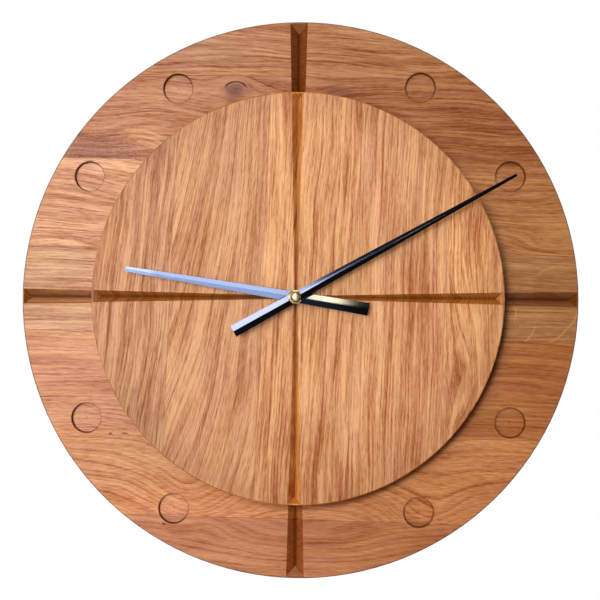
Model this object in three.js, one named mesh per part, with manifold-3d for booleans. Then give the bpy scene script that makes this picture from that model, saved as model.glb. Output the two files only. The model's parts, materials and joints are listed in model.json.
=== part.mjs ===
// Round oak wall clock: a disc of edge-glued boards carries a smaller raised disc, and a battery
// quartz movement sits in an opening behind them and turns two ridged hands through the centre.
//
// Lengths are millimetres. The clock is drawn as seen from the front: x to the right, y up and
// z from the wall towards the viewer, with the hands' axis at x = y = 0 and the wall at z = 0.
// The last lines stand the clock up, with its hanging point at the origin and its face to -Y.

import * as THREE from 'three';
import { ConvexGeometry } from 'three/addons/geometries/ConvexGeometry.js';
import { mergeVertices } from 'three/addons/utils/BufferGeometryUtils.js';
import Module from 'manifold-3d';

const wasm = await Module();
wasm.setup();

// Discs: the raised one leaves a ring of the outer one in view
const dial_diameter = 400;
const dial_thickness = 22;
const dial_chamfer = 0.8;
const ring_width = 55;
const raised_thickness = 15;
const raised_chamfer = 0.7;

// Boards that the discs are glued up from, with each seam as a share of its disc's radius
const glue_line = 0.1;
const dial_board_tilt = -0.9;
const dial_seam_shares = [0.8, 0.4925, 0.17, -0.138, -0.4865, -0.79];
const raised_board_tilt = -2;
const raised_seam_shares = [-0.614, -0.166, 0.283, 0.717];

// Hour marks: round pockets, and grooves of V section with faces at 45 degrees
const pocket_diameter = 21.6;
const pocket_depth = 2.5;
const pocket_rim_gap = 13.9;
const pocket_hours = [1, 2, 4, 5, 7, 8, 10, 11];
const upright_groove_width = 12.6;
const level_groove_width = 11.2;
const dial_groove_centre_width = 3;
const dial_groove_margin = 0.3;
const dial_groove_hidden_length = 10;
const raised_groove_width = 8.6;
const raised_groove_centre_width = 2;
const raised_groove_margin = 1.2;

// Movement case and the recess for it in the back, which leaves a thin floor of wood
const case_wall = 1.2;
const case_front_wall = 1.6;
const case_corner_radius = 3;
const recess_gap = 1;
const recess_corner_radius = 4;
const recess_floor_thickness = 2;
const washer_thickness = 1;
const washer_diameter = 30;

// Threaded bush, fixing nut and hole through the raised disc
const bush_diameter = 6.9;
const bush_flange_diameter = 11;
const bush_flange_thickness = 0.7;
const bush_stand_out = 3.2;
const dial_hole_gap = 0.35;
const nut_across_flats = 9;
const nut_thickness = 2;
const nut_chamfer = 0.4;

// Tubes and arbors on the centre line
const hour_tube_diameter = 5;
const minute_arbor_diameter = 3.2;
const minute_thread_diameter = 2.8;
const pivot_diameter = 1;
const running_gap = 0.06;
const tube_gap = 0.1;
const seat_gap = 0.05;

// Hands, their clock angles in degrees and their heights
const minute_hand_angle = 60.7;
const minute_hand_length = 173.8;
const minute_hand_tail = 49.2;
const minute_hand_tail_width = 8.7;
const minute_hand_tip_width = 2;
const hour_hand_angle = 279.1;
const hour_hand_length = 121.2;
const hour_hand_tail = 51.1;
const hour_hand_tail_width = 8.9;
const hour_hand_tip_width = 3.6;
const hand_edge_thickness = 0.5;
const minute_hand_ridge_share = 0.15;
const hour_hand_ridge_share = 0.09;
const hour_hand_lift = 0.8;
const hand_space = 3.3;
const hand_seat_drop = 0.35;

// Brass fittings of the hands
const hand_bush_wall = 0.4;
const hand_bush_flange = 1;
const hand_bush_flange_thickness = 0.45;
const hand_bush_stand_out = 0.2;
const cap_nut_diameter = 9.9;
const cap_nut_flange_thickness = 0.7;
const cap_nut_bevel_height = 1.1;
const cap_nut_ring_diameter = 6.4;
const cap_nut_dome_diameter = 5.1;
const cap_nut_ring_drop = 0.5;
const cap_nut_dome_height = 1.9;
const cap_nut_cover = 1;

// Gear train: teeth, tooth sizes and face widths
const cannon_teeth = 10;
const minute_wheel_teeth = 30;
const minute_pinion_teeth = 8;
const hour_wheel_teeth = 32;
const knob_teeth = 10;
const centre_wheel_teeth = 48;
const third_pinion_teeth = 6;
const third_wheel_teeth = 45;
const second_pinion_teeth = 6;
const second_wheel_teeth = 36;
const fifth_pinion_teeth = 6;
const fifth_wheel_teeth = 30;
const rotor_pinion_teeth = 6;
const motion_module = 0.45;
const train_module = 0.4;
const wheel_width = 0.8;
const pinion_width = 1.4;
const train_space = 0.2;
const hour_wheel_space = 0.7;
const tooth_tip_share = 0.85;
const tooth_root_share = 1.2;
const tooth_tip_width_share = 0.24;
const tooth_root_width_share = 0.6;
const minute_wheel_direction = 0;
const third_wheel_direction = 135;
const fifth_wheel_direction = 60;
const rotor_direction = 45;
const knob_direction = -30;

// Middle plate, bosses and posts
const plate_thickness = 0.6;
const plate_margin = 2.2;
const pillar_diameter = 3;
const pillar_place_shares = [[-0.43, -0.32], [0.48, -0.32], [0.64, 0.46], [-0.64, 0.54]];
const boss_wall = 1;
const pivot_depth = 1.1;

// Step motor
const motor_space = 1.2;
const rotor_diameter = 5;
const rotor_height = 1.6;
const rotor_air_gap = 0.5;
const stator_thickness = 1;
const stator_ring_width = 1.9;
const stator_leg_width = 3;
const core_width = 2.4;
const coil_length = 22;
const coil_offset_share = 0.33;
const coil_space = 2;
const coil_case_gap = 0.2;
const coil_flange_width = 7;
const coil_flange_height = 5.6;
const coil_flange_thickness = 0.8;
const bobbin_wall = 0.6;
const bobbin_gap = 0.1;
const winding_thickness = 1;

// Circuit board and its parts
const board_width = 10.5;
const board_height = 17;
const board_thickness = 0.8;
const board_gap = 0.3;
const crystal_diameter = 2;
const crystal_length = 6;
const chip_diameter = 5;
const chip_height = 1;

// Battery and contacts
const battery_diameter = 14.1;
const battery_length = 49.3;
const battery_nub_diameter = 5.3;
const battery_nub_length = 1.2;
const battery_edge = 0.6;
const battery_gap = 0.15;
const bay_space = 1.26;
const contact_thickness = 0.4;
const contact_width = 9;
const contact_gap = 0.1;
const contact_tongue_width = 5;
const contact_spring_depth = 1.8;

// Setting knob
const knob_diameter = 9;
const knob_height = 2;
const knob_grip_count = 16;
const knob_grip_share = 0.93;
const knob_arbor_diameter = 2;

// Keyhole hanger and its screws
const hanger_width = 44;
const hanger_height = 24;
const hanger_thickness = 1.5;
const hanger_corner_radius = 3;
const hanger_fit_gap = 0.3;
const keyhole_diameter = 9.4;
const keyslot_width = 4.6;
const keyslot_rise = 10;
const keyhole_pocket_width = 13;
const keyhole_pocket_depth = 8;
const screw_spacing = 34;
const screw_head_diameter = 7;
const screw_shank_diameter = 3.4;
const screw_length = 12;
const screw_recess_width = 0.9;
const screw_recess_length = 3.6;
const screw_recess_depth = 1;

// Facets on round pieces, from the largest to the smallest, and the overrun of every cut
const rim_facets = 128;
const raised_facets = 112;
const pocket_facets = 28;
const round_facets = 24;
const small_facets = 12;
const arc_facets = 8;
const corner_facets = 4;
const overrun = 1;

// Places worked out from the sizes above
const dial_radius = dial_diameter / 2;
const raised_radius = dial_radius - ring_width;
const pocket_radius = pocket_diameter / 2;
const pocket_circle_radius = dial_radius - pocket_rim_gap - pocket_radius;
const face_height = dial_thickness + raised_thickness;
const recess_floor = dial_thickness - recess_floor_thickness;
const case_front = recess_floor - washer_thickness;
const case_inside = case_front - case_front_wall;
const bush_top = face_height + bush_stand_out;
const bush_bore_radius = hour_tube_diameter / 2 + tube_gap;
const hour_hand_back = bush_top + hour_hand_lift;
const minute_hand_back = hour_hand_back + hand_space;
const pivot_radius = pivot_diameter / 2;
const pivot_hole_radius = pivot_radius + running_gap;

const motion_distance = (cannon_teeth + minute_wheel_teeth) * motion_module / 2;
const hour_module = 2 * motion_distance / (minute_pinion_teeth + hour_wheel_teeth);
const knob_distance = (minute_wheel_teeth + knob_teeth) * motion_module / 2;
const third_distance = (centre_wheel_teeth + third_pinion_teeth) * train_module / 2;
const third_wheel_module = 2 * third_distance / (third_wheel_teeth + second_pinion_teeth);
const fifth_distance = (second_wheel_teeth + fifth_pinion_teeth) * train_module / 2;
const rotor_distance = (fifth_wheel_teeth + rotor_pinion_teeth) * train_module / 2;

// Layers of the train, from the front wall backwards: hour wheel, motion work, centre wheel,
// middle plate, third wheel, fifth wheel, second wheel, motor and back cover
const hour_wheel_level = case_inside - bush_flange_thickness - hour_wheel_space - wheel_width;
const motion_level = hour_wheel_level - 2 * train_space - pinion_width;
const centre_wheel_level = motion_level - 2 * train_space - wheel_width;
const plate_level = centre_wheel_level - train_space - plate_thickness;
const third_wheel_level = plate_level - train_space - wheel_width;
const fifth_wheel_level = third_wheel_level - 3 * train_space - wheel_width;
const second_wheel_level = fifth_wheel_level - 4 * train_space - wheel_width;
const motor_level = second_wheel_level - 2 * train_space - rotor_height;
const cover_inside = motor_level - motor_space;
const case_back = cover_inside - case_wall;

const origin = new THREE.Vector2(0, 0);
const minute_wheel_place = polar(origin, motion_distance, minute_wheel_direction);
const knob_place = polar(minute_wheel_place, knob_distance, knob_direction);
const third_wheel_place = polar(origin, third_distance, third_wheel_direction);
const fifth_wheel_place = polar(origin, fifth_distance, fifth_wheel_direction);
const rotor_place = polar(fifth_wheel_place, rotor_distance, rotor_direction);

const stator_ring_radius = rotor_diameter / 2 + rotor_air_gap + stator_ring_width;
const coil_x = rotor_place.x - coil_offset_share * coil_length;
const coil_y = rotor_place.y + stator_ring_radius + coil_space + coil_flange_width / 2;

// The case is as wide as the battery and its contacts need, and as high as the train needs with
// the battery below it and the coil above it
const bay_length = battery_length + battery_nub_length + contact_spring_depth
  + 2 * (battery_gap + contact_thickness + contact_gap);
const case_inner_half_width = bay_length / 2;
const centre_wheel_tip = (centre_wheel_teeth / 2 + tooth_tip_share) * train_module;
const below_centre = centre_wheel_tip + bay_space + case_wall + battery_diameter + 2 * battery_gap;
const above_centre = coil_y + coil_flange_width / 2 + coil_case_gap;
const case_inner_half_height = Math.max(below_centre, above_centre);
const case_half_width = case_inner_half_width + case_wall;
const case_half_height = case_inner_half_height + case_wall;

const battery_radius = battery_diameter / 2;
const battery_y = -case_inner_half_height + battery_gap + battery_radius;
const battery_z = case_inside - battery_gap - battery_radius;
const bay_wall_y = battery_y + battery_radius + battery_gap;

const hanger_y = dial_radius * (dial_seam_shares[0] + dial_seam_shares[1]) / 2;
const keyhole_y = hanger_y - keyslot_rise / 2;
const hang_height = hanger_y + keyslot_rise / 2;

// Solids and operations

function solid(geometry) {
  const bare = new THREE.BufferGeometry();
  bare.setAttribute('position', geometry.getAttribute('position'));
  bare.setIndex(geometry.index);
  const merged = mergeVertices(bare);
  const corners = merged.index.array;
  const triangles = [];
  for (let i = 0; i < corners.length; i += 3) {
    const [a, b, c] = [corners[i], corners[i + 1], corners[i + 2]];
    if (a !== b && b !== c && c !== a) {
      triangles.push(a, b, c);
    }
  }
  return new wasm.Manifold(new wasm.Mesh({
    numProp: 3,
    vertProperties: merged.getAttribute('position').array,
    triVerts: new Uint32Array(triangles),
  }));
}

function surface(body) {
  const mesh = body.getMesh();
  const geometry = new THREE.BufferGeometry();
  geometry.setAttribute('position', new THREE.BufferAttribute(mesh.vertProperties, mesh.numProp));
  geometry.setIndex(new THREE.BufferAttribute(mesh.triVerts, 1));
  return geometry;
}

function polar(from, distance, degrees) {
  const angle = THREE.MathUtils.degToRad(degrees);
  return new THREE.Vector2(
    from.x + distance * Math.cos(angle),
    from.y + distance * Math.sin(angle),
  );
}

function clock_turn(degrees) {
  return -THREE.MathUtils.degToRad(degrees);
}

// A shape in the dial's plane, raised from one height to another
function prism(shape, from, to, curve_facets = corner_facets) {
  const geometry = new THREE.ExtrudeGeometry(shape, {
    depth: to - from,
    bevelEnabled: false,
    curveSegments: curve_facets,
  });
  geometry.translate(0, 0, from);
  return solid(geometry);
}

// A profile of [radius, height] points turned about the line through a place
function turned(profile, facets, place = origin) {
  const points = profile.map(([radius, height]) => new THREE.Vector2(radius, height));
  const geometry = new THREE.LatheGeometry(points, facets);
  geometry.rotateX(Math.PI / 2);
  geometry.translate(place.x, place.y, 0);
  return solid(geometry);
}

function cylinder(radius, from, to, place = origin, facets = small_facets) {
  return turned([[0, from], [radius, from], [radius, to], [0, to]], facets, place);
}

function tube(outer, inner, from, to, place = origin, facets = small_facets) {
  const profile = [[inner, from], [outer, from], [outer, to], [inner, to], [inner, from]];
  return turned(profile, facets, place);
}

function box(width, height, depth, x, y, z) {
  const geometry = new THREE.BoxGeometry(width, height, depth);
  geometry.translate(x, y, z);
  return solid(geometry);
}

// A box between two opposite corners
function block(low, high) {
  const size = high.map((value, axis) => value - low[axis]);
  const middle = high.map((value, axis) => (value + low[axis]) / 2);
  return box(...size, ...middle);
}

function rounded_rectangle(width, height, radius) {
  const [x, y] = [width / 2, height / 2];
  const shape = new THREE.Shape();
  shape.absarc(x - radius, y - radius, radius, 0, Math.PI / 2);
  shape.absarc(radius - x, y - radius, radius, Math.PI / 2, Math.PI);
  shape.absarc(radius - x, radius - y, radius, Math.PI, 1.5 * Math.PI);
  shape.absarc(x - radius, radius - y, radius, 1.5 * Math.PI, 2 * Math.PI);
  return shape;
}

function polygon(points) {
  return new THREE.Shape(points.map(([x, y]) => new THREE.Vector2(x, y)));
}

function hull(points) {
  return solid(new ConvexGeometry(points.map(([x, y, z]) => new THREE.Vector3(x, y, z))));
}

// Discs

function chamfered_disc(radius, from, to, front_chamfer, back_chamfer, facets) {
  return turned([
    [0, from],
    [radius - back_chamfer, from],
    [radius, from + back_chamfer],
    [radius, to - front_chamfer],
    [radius - front_chamfer, to],
    [0, to],
  ], facets);
}

// The cutter of one hour's groove: its faces slope at 45 degrees, so its depth is half of its
// width, it narrows towards the dial's centre, and its outer end is mitred like its sides
function groove(hour, start, end, end_width, centre_width, face) {
  const half_at = (reach) => (centre_width + (end_width - centre_width) * reach / end) / 2;
  const valley_end = end - half_at(end);
  const top = face + overrun;
  const wide = half_at(end) + overrun;
  const start_wide = half_at(start) + overrun;
  return hull([
    [-wide, end + overrun, top],
    [wide, end + overrun, top],
    [-start_wide, start, top],
    [start_wide, start, top],
    [0, valley_end, face - half_at(valley_end)],
    [0, start, face - half_at(start)],
  ]).rotate([0, 0, -30 * hour]);
}

// Cuts a disc into boards along tilted glue lines, from the first seam side to the last
function boards(disc, radius, seams, across_y, tilt, top) {
  const reach = radius + overrun;
  const limits = [across_y ? reach : -reach, ...seams.map((share) => share * radius)];
  limits.push(-limits[0]);
  return limits.slice(1).map((limit, i) => {
    const low = Math.min(limits[i], limit) + glue_line / 2;
    const high = Math.max(limits[i], limit) - glue_line / 2;
    const slab = across_y
      ? block([-2 * reach, low, -overrun], [2 * reach, high, top + overrun])
      : block([low, -2 * reach, -overrun], [high, 2 * reach, top + overrun]);
    return disc.intersect(slab.rotate([0, 0, tilt]));
  });
}

function dial_disc() {
  const top = dial_thickness + overrun;
  let disc = chamfered_disc(
    dial_radius, 0, dial_thickness, dial_chamfer, dial_chamfer, rim_facets);
  for (const hour of pocket_hours) {
    const place = polar(origin, pocket_circle_radius, 90 - 30 * hour);
    const floor = dial_thickness - pocket_depth;
    disc = disc.subtract(cylinder(pocket_radius, floor, top, place, pocket_facets));
  }
  const groove_start = raised_radius - dial_groove_hidden_length;
  const groove_end = dial_radius - dial_chamfer - dial_groove_margin;
  for (const hour of [0, 3, 6, 9]) {
    const width = hour % 6 ? level_groove_width : upright_groove_width;
    disc = disc.subtract(groove(
      hour, groove_start, groove_end, width, dial_groove_centre_width, dial_thickness));
  }
  const recess = rounded_rectangle(
    2 * (case_half_width + recess_gap), 2 * (case_half_height + recess_gap), recess_corner_radius);
  return disc
    .subtract(prism(recess, -overrun, recess_floor))
    .subtract(bush_hole(recess_floor - overrun, top))
    .subtract(hanger_recess());
}

function bush_hole(from, to) {
  return cylinder(bush_diameter / 2 + dial_hole_gap, from, to, origin, round_facets);
}

function raised_disc() {
  let disc = chamfered_disc(
    raised_radius, dial_thickness, face_height, raised_chamfer, 0, raised_facets);
  const groove_end = raised_radius - raised_groove_margin;
  for (const hour of [0, 3, 6, 9]) {
    disc = disc.subtract(groove(
      hour, 0, groove_end, raised_groove_width, raised_groove_centre_width, face_height));
  }
  return disc.subtract(bush_hole(dial_thickness - overrun, face_height + overrun));
}

// Keyhole hanger, let into the back of the second board from the top

function hanger_shape(gap) {
  return rounded_rectangle(
    hanger_width + 2 * gap, hanger_height + 2 * gap, hanger_corner_radius + gap);
}

function screw_places() {
  return [-1, 1].map((side) => new THREE.Vector2(side * screw_spacing / 2, hanger_y));
}

function slot(width, low, high, from, to) {
  const shape = new THREE.Shape();
  shape.absarc(0, high, width / 2, 0, Math.PI);
  shape.absarc(0, low, width / 2, Math.PI, 2 * Math.PI);
  return prism(shape, from, to, arc_facets);
}

function hanger_recess() {
  const depth = hanger_thickness + keyhole_pocket_depth;
  let recess = prism(hanger_shape(hanger_fit_gap), -overrun, hanger_thickness)
    .translate([0, hanger_y, 0]);
  recess = recess.add(slot(keyhole_pocket_width, keyhole_y, hang_height, -overrun, depth));
  for (const place of screw_places()) {
    recess = recess.add(screw_body(place, seat_gap));
  }
  return recess;
}

// Countersunk screw, or with a gap the hole for it, which runs out past the plate's back
function screw_body(place, gap = 0) {
  const head = screw_head_diameter / 2 + gap;
  const shank = screw_shank_diameter / 2 + gap;
  const end = screw_length + 2 * gap;
  const hole_mouth = [[0, -overrun], [head, -overrun], [head, 0]];
  return turned([
    ...(gap > 0 ? hole_mouth : [[0, 0], [head, 0]]),
    [shank, head - shank],
    [shank, end - shank],
    [0, end],
  ], small_facets, place);
}

function hanger_plate() {
  let plate = prism(hanger_shape(0), 0, hanger_thickness).translate([0, hanger_y, 0]);
  const top = hanger_thickness + overrun;
  const hole_place = new THREE.Vector2(0, keyhole_y);
  plate = plate.subtract(cylinder(keyhole_diameter / 2, -overrun, top, hole_place, round_facets));
  plate = plate.subtract(slot(keyslot_width, keyhole_y, hang_height, -overrun, top));
  for (const place of screw_places()) {
    plate = plate.subtract(screw_body(place, seat_gap));
  }
  return plate;
}

function hanger_screw(place) {
  const long = screw_recess_length;
  const narrow = screw_recess_width;
  const deep = 2 * screw_recess_depth;
  return screw_body(place)
    .subtract(box(long, narrow, deep, place.x, place.y, 0))
    .subtract(box(narrow, long, deep, place.x, place.y, 0));
}

// Gears: each tooth is a trapezium that stands on the root circle

function gear_shape(teeth, module, phase, bore = 0) {
  const pitch_radius = teeth * module / 2;
  const tip = pitch_radius + tooth_tip_share * module;
  const root = pitch_radius - tooth_root_share * module;
  const step = 2 * Math.PI / teeth;
  const corners = [
    [root, -tooth_root_width_share / 2],
    [tip, -tooth_tip_width_share / 2],
    [tip, tooth_tip_width_share / 2],
    [root, tooth_root_width_share / 2],
  ];
  const points = [];
  for (let tooth = 0; tooth < teeth; tooth++) {
    for (const [radius, turn] of corners) {
      const angle = phase + (tooth + turn) * step;
      points.push([radius * Math.cos(angle), radius * Math.sin(angle)]);
    }
  }
  const shape = polygon(points);
  if (bore > 0) {
    const hole = new THREE.Path();
    hole.absarc(0, 0, bore, 0, 2 * Math.PI);
    shape.holes.push(hole);
  }
  return shape;
}

function gear(teeth, module, phase, from, to, place = origin, bore = 0) {
  return prism(gear_shape(teeth, module, phase, bore), from, to, small_facets)
    .translate([place.x, place.y, 0]);
}

// The phase that lets a gear's teeth fill the spaces of its partner, which lies the stated way
function meshed(partner_teeth, partner_phase, degrees, teeth) {
  const towards = THREE.MathUtils.degToRad(degrees);
  const partner_turn = partner_teeth * (towards - partner_phase) / (2 * Math.PI);
  return towards + Math.PI - (2 * Math.PI / teeth) * (0.5 - partner_turn);
}

const minute_wheel_phase = meshed(cannon_teeth, 0, minute_wheel_direction, minute_wheel_teeth);
const hour_wheel_phase = meshed(
  minute_pinion_teeth, 0, minute_wheel_direction + 180, hour_wheel_teeth);
const knob_phase = meshed(minute_wheel_teeth, minute_wheel_phase, knob_direction, knob_teeth);
const third_pinion_phase = meshed(
  centre_wheel_teeth, 0, third_wheel_direction, third_pinion_teeth);
const second_pinion_phase = meshed(
  third_wheel_teeth, 0, third_wheel_direction + 180, second_pinion_teeth);
const fifth_pinion_phase = meshed(
  second_wheel_teeth, 0, fifth_wheel_direction, fifth_pinion_teeth);
const rotor_pinion_phase = meshed(fifth_wheel_teeth, 0, rotor_direction, rotor_pinion_teeth);

// Centre arbor with the centre wheel and the cannon pinion, hollow behind for the seconds pivot
function centre_arbor() {
  const radius = minute_arbor_diameter / 2;
  const thread = minute_thread_diameter / 2;
  const rear = plate_level;
  const thread_end = minute_hand_back + cap_nut_total() - cap_nut_cover;
  let arbor = cylinder(radius, rear, minute_hand_back, origin, round_facets);
  arbor = arbor.add(cylinder(thread, rear + overrun, thread_end, origin, round_facets));
  arbor = arbor.add(gear(
    centre_wheel_teeth, train_module, 0, centre_wheel_level, centre_wheel_level + wheel_width));
  arbor = arbor.add(gear(
    cannon_teeth, motion_module, 0, motion_level, motion_level + pinion_width));
  return arbor.subtract(cylinder(pivot_hole_radius, rear - overrun, seconds_tip() + running_gap));
}

function seconds_tip() {
  return centre_wheel_level + wheel_width + pivot_depth;
}

function hour_wheel() {
  const bore = minute_arbor_diameter / 2 + tube_gap;
  const top = hour_wheel_level + wheel_width;
  const tube_top = hour_hand_back + hand_edge_thickness + hour_bush_rise();
  return gear(hour_wheel_teeth, hour_module, hour_wheel_phase, hour_wheel_level, top, origin, bore)
    .add(tube(hour_tube_diameter / 2, bore, hour_wheel_level, tube_top, origin, round_facets));
}

function minute_wheel() {
  const bore = pivot_hole_radius;
  const wheel_top = motion_level + wheel_width;
  const pinion_top = hour_wheel_level + wheel_width + train_space;
  const place = minute_wheel_place;
  return gear(minute_wheel_teeth, motion_module, minute_wheel_phase,
    motion_level, wheel_top, place, bore)
    .add(gear(minute_pinion_teeth, hour_module, 0, motion_level, pinion_top, place, bore));
}

function third_wheel() {
  const place = third_wheel_place;
  const wheel_top = third_wheel_level + wheel_width;
  const pinion_top = centre_wheel_level + wheel_width + train_space;
  return gear(third_wheel_teeth, third_wheel_module, 0, third_wheel_level, wheel_top, place)
    .add(gear(third_pinion_teeth, train_module, third_pinion_phase,
      third_wheel_level, pinion_top, place))
    .add(cylinder(pivot_radius, third_wheel_level - pivot_depth - train_space,
      pinion_top + pivot_depth + train_space, place));
}

function second_wheel() {
  const wheel_top = second_wheel_level + wheel_width;
  const pinion_top = plate_level - train_space;
  return gear(second_wheel_teeth, train_module, 0, second_wheel_level, wheel_top)
    .add(gear(second_pinion_teeth, third_wheel_module, second_pinion_phase,
      second_wheel_level, pinion_top))
    .add(cylinder(pivot_radius, second_wheel_level - pivot_depth - train_space, seconds_tip()));
}

function fifth_wheel() {
  const place = fifth_wheel_place;
  const wheel_top = fifth_wheel_level + wheel_width;
  const pinion_low = second_wheel_level - train_space;
  return gear(fifth_wheel_teeth, train_module, 0, fifth_wheel_level, wheel_top, place)
    .add(gear(fifth_pinion_teeth, train_module, fifth_pinion_phase,
      pinion_low, fifth_wheel_level + train_space, place))
    .add(cylinder(pivot_radius, pinion_low - pivot_depth, plate_level + plate_thickness / 2, place));
}

function rotor() {
  const place = rotor_place;
  const magnet_top = motor_level + rotor_height;
  const pinion_low = fifth_wheel_level - train_space;
  const pinion_top = fifth_wheel_level + wheel_width + train_space;
  const shaft_top = plate_level + plate_thickness / 2;
  return cylinder(rotor_diameter / 2, motor_level, magnet_top, place, round_facets)
    .add(gear(rotor_pinion_teeth, train_module, rotor_pinion_phase, pinion_low, pinion_top, place))
    .add(cylinder(pivot_radius, motor_level - pivot_depth / 2, shaft_top, place));
}

// Setting knob at the back, whose pinion reaches forwards to the minute wheel
function setting_knob() {
  const place = knob_place;
  const back = case_back - running_gap - knob_height;
  const outer = knob_diameter / 2;
  const points = [];
  for (let i = 0; i < 2 * knob_grip_count; i++) {
    const radius = i % 2 ? outer * knob_grip_share : outer;
    const angle = i * Math.PI / knob_grip_count;
    points.push([radius * Math.cos(angle), radius * Math.sin(angle)]);
  }
  const pinion_top = motion_level + pinion_width;
  return prism(polygon(points), back, back + knob_height).translate([place.x, place.y, 0])
    .add(cylinder(knob_arbor_diameter / 2, back, motion_level + overrun, place))
    .add(gear(knob_teeth, motion_module, knob_phase, motion_level, pinion_top, place))
    .add(cylinder(pivot_radius, motion_level, pinion_top + pivot_depth + train_space, place));
}

// Step motor: laminated stator round the rotor, core bar over its legs, bobbin and winding

const leg_x = [
  coil_x - coil_length / 2 - stator_leg_width / 2 - bobbin_gap,
  coil_x + coil_length / 2 + stator_leg_width / 2 + bobbin_gap,
];
const stator_level = motor_level + (rotor_height - stator_thickness) / 2;
const core_level = stator_level + stator_thickness;

function stator() {
  const half = stator_leg_width / 2;
  const low = stator_level;
  const high = core_level;
  const place = rotor_place;
  const hole = rotor_diameter / 2 + rotor_air_gap;
  let body = cylinder(stator_ring_radius, low, high, place, round_facets);
  body = body.add(block(
    [leg_x[0] - half, place.y - half, low], [leg_x[1] + half, place.y + half, high]));
  for (const x of leg_x) {
    body = body.add(block([x - half, place.y - half, low], [x + half, coil_y + half, high]));
  }
  return body.subtract(cylinder(hole, low - overrun, high + overrun, place, round_facets));
}

function coil_core() {
  const half = core_width / 2;
  const reach = stator_leg_width / 2;
  return block(
    [leg_x[0] - reach, coil_y - half, core_level],
    [leg_x[1] + reach, coil_y + half, core_level + stator_thickness]);
}

function coil_bobbin() {
  const middle = core_level + stator_thickness / 2;
  const hole = [core_width / 2 + bobbin_gap, stator_thickness / 2 + bobbin_gap];
  const barrel = hole.map((value) => value + bobbin_wall);
  const flange = [coil_flange_width / 2, coil_flange_height / 2];
  const [left, right] = [coil_x - coil_length / 2, coil_x + coil_length / 2];
  const bar = (from, to, [half_y, half_z]) => block(
    [from, coil_y - half_y, middle - half_z], [to, coil_y + half_y, middle + half_z]);
  return bar(left, right, barrel)
    .add(bar(left, left + coil_flange_thickness, flange))
    .add(bar(right - coil_flange_thickness, right, flange))
    .subtract(bar(left - overrun, right + overrun, hole));
}

function coil_winding() {
  const middle = core_level + stator_thickness / 2;
  const inner_y = core_width / 2 + 2 * bobbin_gap + bobbin_wall;
  const inner_z = stator_thickness / 2 + 2 * bobbin_gap + bobbin_wall;
  const outer_y = inner_y + winding_thickness;
  const outer_z = inner_z + winding_thickness;
  const left = coil_x - coil_length / 2 + coil_flange_thickness + bobbin_gap;
  const right = coil_x + coil_length / 2 - coil_flange_thickness - bobbin_gap;
  return block(
    [left, coil_y - outer_y, middle - outer_z],
    [right, coil_y + outer_y, middle + outer_z],
  ).subtract(block(
    [left - overrun, coil_y - inner_y, middle - inner_z],
    [right + overrun, coil_y + inner_y, middle + inner_z],
  ));
}

// Circuit board at the left, with its quartz crystal and its chip under a drop of resin

const board_left = -case_inner_half_width + board_gap;
const board_low = bay_wall_y + case_wall + board_gap;
const board_level = cover_inside + board_gap;

function circuit_board() {
  return block(
    [board_left, board_low, board_level],
    [board_left + board_width, board_low + board_height, board_level + board_thickness]);
}

function quartz_crystal() {
  const radius = crystal_diameter / 2;
  const geometry = new THREE.CylinderGeometry(radius, radius, crystal_length, small_facets);
  const x = board_left + board_width / 4;
  const y = board_low + board_height / 4;
  geometry.translate(x, y, board_level + board_thickness + radius + seat_gap);
  return solid(geometry);
}

function chip_drop() {
  const place = new THREE.Vector2(
    board_left + board_width / 2, board_low + 3 * board_height / 4);
  const low = board_level + board_thickness;
  const radius = chip_diameter / 2;
  return turned([
    [0, low],
    [radius, low],
    [radius * Math.cos(Math.PI / 6), low + chip_height / 2],
    [radius * Math.cos(Math.PI / 3), low + chip_height * Math.sin(Math.PI / 3)],
    [0, low + chip_height],
  ], small_facets, place);
}

// Battery bay, battery and contacts

const contact_left = -case_inner_half_width + contact_gap;
const contact_right = case_inner_half_width - contact_gap;
const battery_end = contact_right - contact_thickness - battery_gap;
const battery_start = battery_end - battery_nub_length - battery_length;

function battery() {
  const body_end = battery_start + battery_length;
  const points = [
    [0, battery_start],
    [battery_radius - battery_edge, battery_start],
    [battery_radius, battery_start + battery_edge],
    [battery_radius, body_end - battery_edge],
    [battery_radius - battery_edge, body_end],
    [battery_nub_diameter / 2, body_end],
    [battery_nub_diameter / 2, battery_end],
    [0, battery_end],
  ].map(([radius, along]) => new THREE.Vector2(radius, along));
  const geometry = new THREE.LatheGeometry(points, round_facets);
  geometry.rotateZ(-Math.PI / 2);
  geometry.translate(0, battery_y, battery_z);
  return solid(geometry);
}

function contact_plate(from) {
  const half = contact_width / 2;
  return block(
    [from, battery_y - half, battery_z - half],
    [from + contact_thickness, battery_y + half, battery_z + half]);
}

function positive_contact() {
  return contact_plate(contact_right - contact_thickness);
}

// Plate with a bent tongue that springs against the battery's flat end
function negative_contact() {
  const plate_face = contact_left + contact_thickness;
  const press = battery_start - battery_gap;
  const half = contact_width / 2;
  const thick = contact_thickness;
  const tongue = polygon([
    [contact_left, battery_y + half],
    [plate_face, battery_y + half],
    [press, battery_y + thick],
    [press, battery_y - thick],
    [plate_face + thick, battery_y - half],
    [plate_face + thick / 2, battery_y - half],
    [press - thick, battery_y - thick],
    [press - thick, battery_y + thick],
    [plate_face, battery_y + half - thick],
    [contact_left, battery_y + half - thick],
  ]);
  const tongue_half = contact_tongue_width / 2;
  return contact_plate(contact_left)
    .add(prism(tongue, battery_z - tongue_half, battery_z + tongue_half));
}

// Case: front shell with bosses inside, back cover with bosses and the battery's opening

function boss(place, from, to, hole_from, hole_to) {
  const radius = pivot_hole_radius + boss_wall;
  return [cylinder(radius, from, to, place), cylinder(pivot_hole_radius, hole_from, hole_to, place)];
}

function case_outline() {
  return rounded_rectangle(2 * case_half_width, 2 * case_half_height, case_corner_radius);
}

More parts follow.
